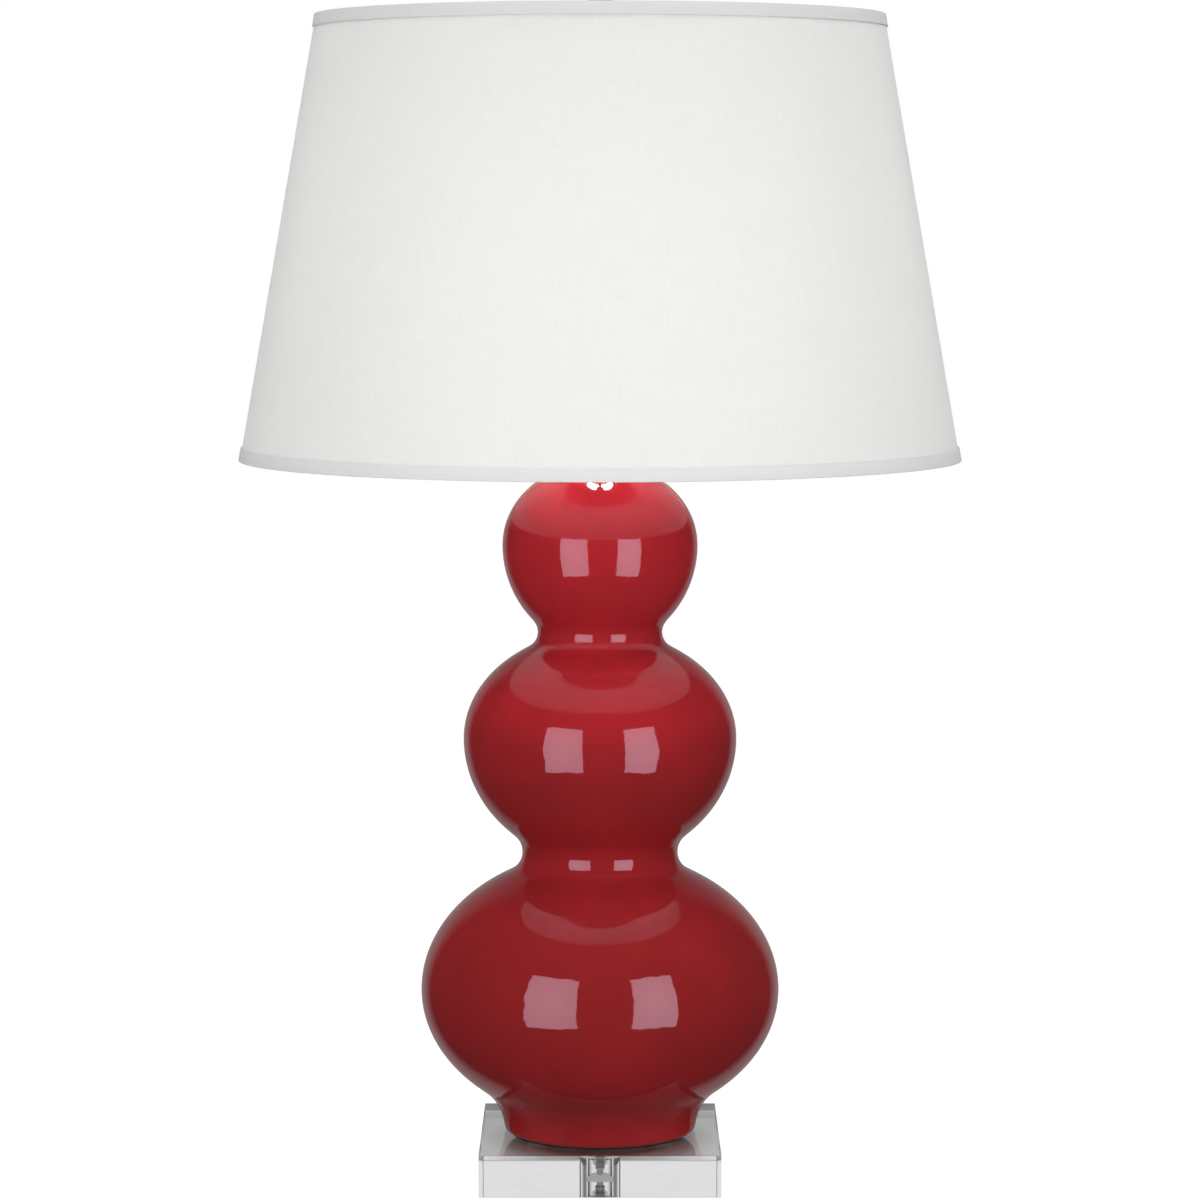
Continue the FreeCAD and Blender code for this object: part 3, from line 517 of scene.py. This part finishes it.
# This curve paints light on the lobes' crowns and shade lower down, on top of the glaze's real thinning and pooling
run_down_and_painted_light = tree.nodes.new("ShaderNodeFloatCurve")
points = run_down_and_painted_light.mapping.curves[0].points
points[0].location, points[1].location = THINNING_AND_PAINTED_LIGHT[0], THINNING_AND_PAINTED_LIGHT[-1]
for share, thin in THINNING_AND_PAINTED_LIGHT[1:-1]:
    points.new(share, thin)
run_down_and_painted_light.mapping.update()
join(tree, math_node(tree, "DIVIDE", height.outputs["Z"], GLAZED_HEIGHT), run_down_and_painted_light.inputs["Value"])
cloud = add_node(tree, "ShaderNodeTexNoise", Scale=14.0, Detail=4.0, Roughness=0.55)
join(tree, place, cloud.inputs["Vector"])
drift = ramp(tree, cloud.outputs["Fac"], NOISE_SPAN, -CLOUD_DRIFT, CLOUD_DRIFT)
thinning_and_painted_light = math_node(tree, "ADD", run_down_and_painted_light.outputs["Value"], drift)
# The colour mixes the glaze's real depth with painted light on the crowns and painted shade lower down
depth = blend(tree, thinning_and_painted_light, GLAZE_POOLED_AND_SHADED, GLAZE_THIN_AND_LIT, "RGBA")
bare = ramp(tree, height.outputs["Z"], BARE_SPAN, 1.0, 0.0)
join(tree, blend(tree, bare, depth, BARE_CLAY, "RGBA"), shader.inputs["Base Color"])
join(tree, skin.outputs["Roughness"], shader.inputs["Roughness"])
add_bump(tree, shader, skin.outputs["Height"], WAVINESS, WAVE_DEPTH)
print("finish", ruby_glaze.name)

# %% [markdown]
# # Ceramic body
# Three lobes, each made of two half ellipses, meet in two narrow waists, and the lowest flares into a foot. A
# subdivided cage could be pushed into this shape, but then the waists would only be near the real ones. Turning
# one vertex for each arc follows the outline of the CAD solid, and a little smoothing softens the joints between
# the arcs. A Solidify modifier adds the thrown wall.

# %% Ceramic body
FOOT_Z, FOOT_RADIUS, FOOT_EDGE, FOOT_FLARE, FOOT_OPENING = 30.6, 68.3, 3.5, 37.0, 40.0
FOOT_EDGE_END, FLARE_START, FLARE_END = -2.7, 5.16, 56.4543
# Radius, height of the widest place, drop and rise of the half ellipses, and the angles at which they end
BOTTOM_LOBE = (127.4, 132.001, 94.6, 97.4, -48.2377, 59.6633)
MIDDLE_LOBE = (96.8, 311.837, 88.8, 75.9, -50.6988, 58.3869)
TOP_LOBE = (69.0, 449.223, 73.4, 58.8, -46.5906, 78.2935)
# Radius, radius of the hollow, height, and the angles between which the hollow turns
LOWER_WAIST = (55.0, 15.8, 230.486, 245.8959, 126.9021)
UPPER_WAIST = (43.9, 12.1, 387.371, 244.2369, 135.1795)
ARC_GAP = 0.3
SOFTENING = 3
WALL = 6.5


def turn_lobe(bm, lobe, steps_down, steps_up):
    """Two half ellipses that meet at the lobe's widest place."""
    radius, z, drop, rise, low, high = lobe
    turn_vertex(bm, (0.0, z), radius, low, 0.0, steps_down, drop / radius)
    turn_vertex(bm, (0.0, z), radius, 0.0, high, steps_up, rise / radius)


def turn_waist(bm, waist, steps):
    """Hollow arc between two lobes."""
    radius, hollow, z, start, end = waist
    turn_vertex(bm, (radius + hollow, z), hollow, start, end, steps)


bm = bmesh.new()
draw_line(bm, (FOOT_OPENING, FOOT_Z), (FOOT_RADIUS - FOOT_EDGE, FOOT_Z))
turn_vertex(bm, (FOOT_RADIUS - FOOT_EDGE, FOOT_Z + FOOT_EDGE), FOOT_EDGE, -90.0, FOOT_EDGE_END, steps=8)
flare_centre = (FOOT_RADIUS + FOOT_FLARE, FOOT_Z)
turn_vertex(bm, flare_centre, FOOT_FLARE, 180.0 - FLARE_START, 180.0 - FLARE_END, steps=14)
turn_lobe(bm, BOTTOM_LOBE, steps_down=26, steps_up=32)
turn_waist(bm, LOWER_WAIST, steps=16)
turn_lobe(bm, MIDDLE_LOBE, steps_down=24, steps_up=24)
turn_waist(bm, UPPER_WAIST, steps=14)
turn_lobe(bm, TOP_LOBE, steps_down=20, steps_up=28)
bmesh.ops.remove_doubles(bm, verts=bm.verts, dist=ARC_GAP)
above_foot = FOOT_Z + 2.0 * FOOT_EDGE
soft = [vertex for vertex in bm.verts if len(vertex.link_edges) == 2 and vertex.co.z > above_foot]
for _ in range(SOFTENING):
    bmesh.ops.smooth_vert(bm, verts=soft, factor=0.5, use_axis_x=True, use_axis_y=True, use_axis_z=True)
turn_outline(bm, steps=144)
gourd = finish_piece("ceramic_gourd", bm, "lamp", "ruby_glaze", ruby_glaze, "gourd_body")
wall = gourd.modifiers.new("thrown_wall", "SOLIDIFY")
wall.thickness = WALL * MILLIMETRE
wall.offset = -1.0

# %% [markdown]
# # Clear acrylic
# The block is cast acrylic with polished faces, so the picture in it comes from refraction alone: the nut in its
# recess shows twice, once directly and once mirrored in the underside. A plain glass shader does this by itself.
# Drilling and milling leave the recess and the cord channel a little less clear than the polished faces. Light
# passes through acrylic, so to shadow rays the shader is see-through.

# %% Clear acrylic
RECESS_RADIUS, RECESS_DEPTH = 15.0, 16.6
CHANNEL_WIDTH, CHANNEL_HEIGHT = 9.0, 9.0
CUTTER_MARGIN = 0.3
MACHINED_ROUGHNESS = 0.02
CLEAR_SHADOW = (0.93, 0.94, 0.935, 1.0)

clear_acrylic, tree, shader = start_material(
    "clear_acrylic", Base_Color=(0.985, 0.99, 0.988, 1.0), IOR=1.49, Transmission_Weight=1.0
)
place = tree.nodes.new("ShaderNodeTexCoord").outputs["Object"]
polish = use_group(tree, marks, place, Scale=60.0, Low=0.0, High=0.008)
where = tree.nodes.new("ShaderNodeSeparateXYZ")
join(tree, place, where.inputs[0])
flat = tree.nodes.new("ShaderNodeCombineXYZ")
join(tree, where.outputs["X"], flat.inputs["X"])
join(tree, where.outputs["Y"], flat.inputs["Y"])
off_axis = tree.nodes.new("ShaderNodeVectorMath")
off_axis.operation = "LENGTH"
join(tree, flat.outputs[0], off_axis.inputs[0])
drilled = (RECESS_RADIUS + CUTTER_MARGIN) * MILLIMETRE
half_milled = (CHANNEL_WIDTH / 2.0 + CUTTER_MARGIN) * MILLIMETRE
milled_top = (CHANNEL_HEIGHT + CUTTER_MARGIN) * MILLIMETRE
in_recess = math_node(tree, "LESS_THAN", off_axis.outputs["Value"], drilled)
in_width = math_node(tree, "LESS_THAN", math_node(tree, "ABSOLUTE", where.outputs["X"]), half_milled)
in_height = math_node(tree, "LESS_THAN", where.outputs["Z"], milled_top)
in_back = math_node(tree, "GREATER_THAN", where.outputs["Y"], 0.0)
in_channel = math_node(tree, "MULTIPLY", math_node(tree, "MULTIPLY", in_width, in_height), in_back)
machined = math_node(tree, "MAXIMUM", in_recess, in_channel)
roughness = blend(tree, machined, polish.outputs["Roughness"], MACHINED_ROUGHNESS)
join(tree, roughness, shader.inputs["Roughness"])
shadow_ray = tree.nodes.new("ShaderNodeLightPath").outputs["Is Shadow Ray"]
mix_shaders(tree, shadow_ray, shader, add_node(tree, "ShaderNodeBsdfTransparent", Color=CLEAR_SHADOW))
print("finish", clear_acrylic.name)

# %% [markdown]
# # Acrylic block
# The block is sawn square and polished, and its edges are only just broken. From below it has a drilled recess for
# the nut, a hole for the pipe, and a channel for the cord. Glass shows every flat spot, so the drill is a finely
# turned shape, and a Boolean modifier cuts it and the channel out, which leaves the outer faces perfectly flat.

# %% Acrylic block
BLOCK_WIDTH, BLOCK_HEIGHT, BROKEN_EDGE = 169.0, 29.6, 0.25
PIPE_HOLE = 5.5
CUTTER_BOTTOM, DRILL_TOP = -10.0, 2.0 * BLOCK_HEIGHT
SHARP_ANGLE = 30.0


def straight_box(width, low, high):
    """Box between two corners in the YZ plane, given in millimetres and centred on X."""
    bm = bmesh.new()
    bmesh.ops.create_cube(bm, size=1.0)
    bmesh.ops.scale(bm, vec=(width, high[0] - low[0], high[1] - low[1]), verts=bm.verts)
    bmesh.ops.translate(bm, vec=(0.0, (low[0] + high[0]) / 2.0, (low[1] + high[1]) / 2.0), verts=bm.verts)
    bmesh.ops.scale(bm, vec=(MILLIMETRE,) * 3, verts=bm.verts)
    return bm


def carve(piece, *cutters):
    """Cuts shapes out of a piece, applies the cuts and throws the cutters away."""
    tools = []
    for number, bm in enumerate(cutters):
        mesh = bpy.data.meshes.new("cutter_%d" % number)
        bm.to_mesh(mesh)
        bm.free()
        tool = bpy.data.objects.new(mesh.name, mesh)
        bpy.context.scene.collection.objects.link(tool)
        tools.append(tool)
        cut = piece.modifiers.new(tool.name, "BOOLEAN")
        cut.operation, cut.solver, cut.object = "DIFFERENCE", "EXACT", tool
    carved = bpy.data.meshes.new_from_object(piece.evaluated_get(bpy.context.evaluated_depsgraph_get()))
    piece.modifiers.clear()
    piece.data = carved
    for tool in tools:
        bpy.data.objects.remove(tool)
    carved.set_sharp_from_angle(angle=math.radians(SHARP_ANGLE))
    print(piece.name, "faces after carving:", len(carved.polygons))


half_width = BLOCK_WIDTH / 2.0
bm = straight_box(BLOCK_WIDTH, (-half_width, 0.0), (half_width, BLOCK_HEIGHT))
bmesh.ops.bevel(
    bm, geom=bm.edges[:], offset=BROKEN_EDGE * MILLIMETRE, affect="EDGES", segments=1, profile=0.5, material=-1
)
block = finish_piece("acrylic_block", bm, "lamp", "clear_acrylic", clear_acrylic, "base_block")
drill = bmesh.new()
draw_line(
    drill,
    (0.0, CUTTER_BOTTOM),
    (RECESS_RADIUS, CUTTER_BOTTOM),
    (RECESS_RADIUS, RECESS_DEPTH),
    (PIPE_HOLE, RECESS_DEPTH),
    (PIPE_HOLE, DRILL_TOP),
    (0.0, DRILL_TOP),
)
turn_outline(drill, steps=160)
carve(block, drill, straight_box(CHANNEL_WIDTH, (0.0, CUTTER_BOTTOM), (BLOCK_WIDTH, CHANNEL_HEIGHT)))

# %% [markdown]
# # Linen
# The shade is covered with white linen, and the bulb inside makes it glow. Cloth both reflects light and lets
# some through, so the finish mixes a Principled shader with a Translucent one. The threads follow the flat cut,
# which is stored in the cloth's own UV map in metres.

# %% Linen finish
THREAD_RELIEF = 0.5


def linen_finish(name, colour, passing, share, threads, slub, bump_depth):
    """Woven cloth of a colour, which lets a share of the light through in another."""
    material, tree, shader = start_material(name, Roughness=0.85, Specular_IOR_Level=0.2, Sheen_Weight=0.1)
    cut = tree.nodes.new("ShaderNodeUVMap")
    cut.uv_map = "cut"
    threads_laid = use_group(tree, weave, cut.outputs["UV"], Threads=threads, Slub=slub)
    tone = tree.nodes.new("ShaderNodeMix")
    tone.data_type = "RGBA"
    tone.blend_type = "MULTIPLY"
    tone.inputs["Factor"].default_value = 1.0
    tone.inputs["A"].default_value = colour
    join(tree, threads_laid.outputs["Tone"], tone.inputs["B"])
    join(tree, tone.outputs["Result"], shader.inputs["Base Color"])
    add_bump(tree, shader, threads_laid.outputs["Height"], THREAD_RELIEF, bump_depth)
    mix_shaders(tree, share, shader, add_node(tree, "ShaderNodeBsdfTranslucent", Color=passing))
    print("finish", name)
    return material


white_linen = linen_finish(
    "white_linen",
    colour=(0.765, 0.765, 0.755, 1.0),
    passing=(0.95, 0.95, 0.94, 1.0),
    share=0.18,
    threads=1500.0,
    slub=0.11,
    bump_depth=0.00012,
)
# The binding's colour is darker than the cover's: painted shade, as the folded strip is not lit through by the bulb
shaded_binding_linen = linen_finish(
    "shaded_binding_linen",
    colour=(0.675, 0.675, 0.67, 1.0),
    passing=(0.6, 0.6, 0.6, 1.0),
    share=0.03,
    threads=1500.0,
    slub=0.10,
    bump_depth=0.00012,
)
# The lining's dark grey colour is painted shade: it keeps the inside of the shade dimmer than the lit cover
shaded_lining_film = linen_finish(
    "shaded_lining_film",
    colour=(0.28, 0.28, 0.275, 1.0),
    passing=(0.92, 0.92, 0.915, 1.0),
    share=0.5,
    threads=700.0,
    slub=0.05,
    bump_depth=0.00005,
)

# %% [markdown]
# # Shade cover
# The cover is one flat piece of linen, cut as part of a ring and rolled into a cone. Rolling doesn't stretch
# cloth, so the grid is first laid out as that flat cut, which becomes its UV map, and is then rolled. The grain
# is upright in front and slants towards the seam at the back, as it does on a real tapered shade. The lining is a
# second cone just inside it, with its faces turned inwards.

# %% Cone
LINEN_RADII = (252.8, 197.9)
SHADE_HEIGHTS = (509.9, 820.1)
RIM_FOLD = 1.25
LINEN_WALL, LINING_WALL, GLUE = 0.7, 0.8, 0.05

slope = math.atan2(LINEN_RADII[0] - LINEN_RADII[1], SHADE_HEIGHTS[1] - SHADE_HEIGHTS[0])
apex_z = SHADE_HEIGHTS[0] + LINEN_RADII[0] / math.tan(slope)


def roll_cloth(bm, low, high, inset, start, end):
    """Rolls a unit grid into a cone wall between two heights, and keeps the flat cut as its UV map."""
    layer = bm.loops.layers.uv["cut"]
    for vertex in bm.verts:
        share, rise = vertex.co.x + 0.5, vertex.co.y + 0.5
        turn = start + (end - start) * share
        reach = (apex_z - (low + (high - low) * rise)) / math.cos(slope)
        flat = turn * math.sin(slope)
        for loop in vertex.link_loops:
            loop[layer].uv = Vector((reach * math.sin(flat), reach * math.cos(flat))) * MILLIMETRE
        radius = reach * math.sin(slope) - inset
        vertex.co = Vector((radius * math.sin(turn), -radius * math.cos(turn), apex_z - reach * math.cos(slope)))
        vertex.co *= MILLIMETRE


def cone_sheet(low, high, inset, across, up, start=-math.pi, end=math.pi):
    """Cone wall of a number of faces across and up, set in from the linen's surface."""
    bm = bmesh.new()
    bm.loops.layers.uv.new("cut")
    bmesh.ops.create_grid(bm, x_segments=across, y_segments=up, size=0.5, calc_uvs=True)
    roll_cloth(bm, low, high, inset, start, end)
    bmesh.ops.remove_doubles(bm, verts=bm.verts, dist=SAME_PLACE)
    bmesh.ops.recalc_face_normals(bm, faces=bm.faces)
    return bm


low_edge, high_edge = SHADE_HEIGHTS[0] + RIM_FOLD, SHADE_HEIGHTS[1] - RIM_FOLD
bm = cone_sheet(low_edge, high_edge, inset=0.0, across=288, up=32)
cover = finish_piece("linen_cover", bm, "shade", "white_linen", white_linen, "shade_fabric")

# %% Lining
bm = cone_sheet(low_edge, high_edge, inset=LINEN_WALL + GLUE + LINING_WALL, across=288, up=8)
bmesh.ops.reverse_faces(bm, faces=bm.faces)
finish_piece("shade_lining_film", bm, "shade", "white_lining", shaded_lining_film, "shade_lining")

# %% [markdown]
# # Seam
# The cover's two ends overlap at the back and are glued. The overlap is a strip of the same cloth, one layer
# proud of the cone. It is rolled like the cover, and a Solidify modifier gives the layer its thickness.

# %% Seam
SEAM_WIDTH = 12.0

half_turn = SEAM_WIDTH / 2.0 / LINEN_RADII[0]
seam_start, seam_end = math.pi - half_turn, math.pi + half_turn
bm = cone_sheet(low_edge, high_edge, inset=-LINEN_WALL, across=6, up=32, start=seam_start, end=seam_end)
seam = finish_piece("linen_seam", bm, "shade", "white_linen", white_linen)
layer = seam.modifiers.new("layer", "SOLIDIFY")
layer.thickness = LINEN_WALL * MILLIMETRE
layer.offset = -1.0
print("seam width", SEAM_WIDTH)

# %% [markdown]
# # Bindings
# Each rim is bound with a strip of the same linen, folded over the wire ring and glued to both sides. The fold's
# section is drawn as a closed outline whose corners are beveled, and turned about the lamp's axis. Its UV map runs
# along the strip, so the threads follow it.

# %% Bindings
BINDING, BINDING_ROUNDING = 1.2, 0.55
BINDING_HEIGHT, BINDING_RETURN = 9.0, 6.0
WALL_DEPTH = LINEN_WALL + LINING_WALL + 2.0 * GLUE


def linen_radius(height):
    """Radius of the cover at a height."""
    return LINEN_RADII[0] - math.tan(slope) * (height - SHADE_HEIGHTS[0])


def binding(name, rim, inward, node):
    """Folded strip round one rim of the shade."""
    fold, outer_end = rim + inward * BINDING, rim + inward * BINDING_HEIGHT
    inner_end = fold + inward * BINDING_RETURN
    corners = [
        (linen_radius(outer_end) + GLUE, outer_end),
        (linen_radius(outer_end) + BINDING, outer_end),
        (linen_radius(rim) + BINDING, rim),
        (linen_radius(rim) - WALL_DEPTH - BINDING, rim),
        (linen_radius(inner_end) - WALL_DEPTH - BINDING, inner_end),
        (linen_radius(inner_end) - WALL_DEPTH, inner_end),
        (linen_radius(fold) - WALL_DEPTH, fold),
        (linen_radius(fold) + GLUE, fold),
    ]
    bm = bmesh.new()
    section = [bm.verts.new((radius, 0.0, height)) for radius, height in corners]
    bm.faces.new(section)
    bmesh.ops.bevel(
        bm,
        geom=section[1:5],
        offset=BINDING_ROUNDING,
        offset_type="OFFSET",
        affect="VERTICES",
        segments=4,
        profile=0.5,
        material=-1,
    )
    bmesh.ops.delete(bm, geom=bm.faces[:], context="FACES_ONLY")
    turn_outline(bm, steps=288)
    layer = bm.loops.layers.uv.new("cut")
    for face in bm.faces:
        middle = face.calc_center_median()
        turn = math.atan2(middle.x, -middle.y)
        for loop in face.loops:
            place = loop.vert.co
            offset = math.remainder(math.atan2(place.x, -place.y) - turn, math.tau)
            loop[layer].uv = ((turn + offset) * linen_radius(rim) * MILLIMETRE, place.z)
    return finish_piece(name, bm, "shade", "linen_binding", shaded_binding_linen, node)


top_binding = binding("top_binding", SHADE_HEIGHTS[1], -1, "shade_top_trim")
bottom_binding = binding("bottom_binding", SHADE_HEIGHTS[0], 1, "shade_bottom_trim")

# %% [markdown]
# # Light bulb
# A round frosted bulb fills the middle of the shade. Its glass is a ball that flares out of a neck, so it is
# turned like the body. The frosting scatters the light inside the glass, so the whole ball glows, and a glowing
# surface is what both lights the shade and shows as a white spot in the glaze below it. A camera that is set for
# the glaze would see the bulb as a flat white disc, so the camera alone sees it much dimmer.

# %% Light bulb
BULB_RADIUS, BULB_CENTRE = 33.0, 649.076
BULB_NECK, BULB_FLARE, BULB_FLARE_Z, BULB_FOOT = 13.6, 27.0, 604.898, 602.898
BULB_MEET, BULB_GAP = 47.4163, 0.1
BULB_LIGHT, BULB_TO_THE_EYE = 60.0, 0.55
BULB_DARK, BULB_WARM = (0.0, 0.0, 0.0, 1.0), (1.0, 0.97, 0.93, 1.0)
NECK_SPAN, NECK_GLOW = (0.603, 0.635), 0.5

frosted_glass, tree, shader = start_material("frosted_glass", Base_Color=(0.55, 0.535, 0.51, 1.0))
path = tree.nodes.new("ShaderNodeLightPath")
strength = blend(tree, path.outputs["Is Camera Ray"], BULB_LIGHT, BULB_TO_THE_EYE)
join(tree, strength, shader.inputs["Emission Strength"])
place = tree.nodes.new("ShaderNodeTexCoord").outputs["Object"]
frost = use_group(tree, marks, place, Scale=120.0, Low=0.35, High=0.5)
join(tree, frost.outputs["Roughness"], shader.inputs["Roughness"])
height = tree.nodes.new("ShaderNodeSeparateXYZ")
join(tree, place, height.inputs[0])
glow = ramp(tree, height.outputs["Z"], NECK_SPAN, NECK_GLOW, 1.0)
join(tree, blend(tree, glow, BULB_DARK, BULB_WARM, "RGBA"), shader.inputs["Emission Color"])

bm = bmesh.new()
draw_line(bm, (0.0, BULB_FOOT), (BULB_NECK, BULB_FOOT), (BULB_NECK, BULB_FLARE_Z))
turn_vertex(bm, (BULB_NECK + BULB_FLARE, BULB_FLARE_Z), BULB_FLARE, 180.0, 180.0 - BULB_MEET, steps=10)
turn_vertex(bm, (0.0, BULB_CENTRE), BULB_RADIUS, -BULB_MEET, 90.0, steps=28)
bmesh.ops.remove_doubles(bm, verts=bm.verts, dist=BULB_GAP)
turn_outline(bm, steps=64)
finish_piece("bulb_envelope", bm, "bulb", "frosted_glass", frosted_glass, "bulb_glass")

# %% [markdown]
# # Hardware finishes
# The fittings inside the shade and under the block are turned, pressed or moulded, and their CAD shapes are
# right. Each gets the finish of its slot: polished nickel, zinc, brass, aluminium, black moulding, fibre, white
# paint, rubber, grey plastic or dark glass. All of them use the handling marks, each with its own values.

# %% Hardware finishes
# Two tones, metallic, lowest and highest roughness, scale of the marks, depth of the ripples, and shine
HARDWARE = {
    "polished_nickel": ((0.80, 0.76, 0.70), (0.70, 0.66, 0.60), 1.0, 0.08, 0.2, 90.0, 0.00002, 0.5),
    "zinc_steel": ((0.66, 0.66, 0.65), (0.5, 0.5, 0.49), 1.0, 0.1, 0.22, 140.0, 0.00004, 0.5),
    "brass": ((0.80, 0.60, 0.28), (0.62, 0.44, 0.18), 1.0, 0.18, 0.35, 150.0, 0.00003, 0.5),
    "aluminium": ((0.80, 0.80, 0.79), (0.66, 0.66, 0.66), 1.0, 0.2, 0.4, 160.0, 0.00003, 0.5),
    "black_phenolic": ((0.018, 0.017, 0.016), (0.03, 0.028, 0.026), 0.0, 0.25, 0.45, 220.0, 0.00004, 0.5),
    "fibre_liner": ((0.50, 0.40, 0.28), (0.36, 0.28, 0.19), 0.0, 0.75, 0.95, 260.0, 0.0001, 0.5),
    "white_wire": ((0.82, 0.82, 0.80), (0.74, 0.74, 0.72), 0.0, 0.3, 0.5, 300.0, 0.0001, 0.5),
    "dark_rubber": ((0.012, 0.009, 0.009), (0.022, 0.017, 0.017), 0.0, 0.6, 0.8, 200.0, 0.00006, 0.1),
    "grey_plastic": ((0.36, 0.36, 0.36), (0.3, 0.3, 0.3), 0.0, 0.4, 0.6, 200.0, 0.00005, 0.5),
    "dark_glass": ((0.02, 0.02, 0.025), (0.03, 0.03, 0.035), 0.0, 0.05, 0.2, 150.0, 0.00002, 0.5),
}
RIPPLE_STRENGTH = 0.3


def hard_finish(name, colour, other, metallic, low, high, scale, bump_depth, shine):
    """Finish whose colour drifts between two tones with the handling marks."""
    material, tree, shader = start_material(name, Metallic=metallic, Specular_IOR_Level=shine)
    place = tree.nodes.new("ShaderNodeTexCoord").outputs["Object"]
    worn = use_group(tree, marks, place, Scale=scale, Low=low, High=high)
    tone = blend(tree, worn.outputs["Mask"], (*colour, 1.0), (*other, 1.0), "RGBA")
    join(tree, tone, shader.inputs["Base Color"])
    join(tree, worn.outputs["Roughness"], shader.inputs["Roughness"])
    add_bump(tree, shader, worn.outputs["Height"], RIPPLE_STRENGTH, bump_depth)
    return material


finishes = {name: hard_finish(name, *values) for name, values in HARDWARE.items()}
dressed = 0
for row in frame["record"]["subparts"]:
    if row["material_slot"] in finishes:
        mesh = nodes[row["node"]].data
        mesh.materials.clear()
        mesh.materials.append(finishes[row["material_slot"]])
        dressed += 1
print("hardware nodes dressed:", dressed)
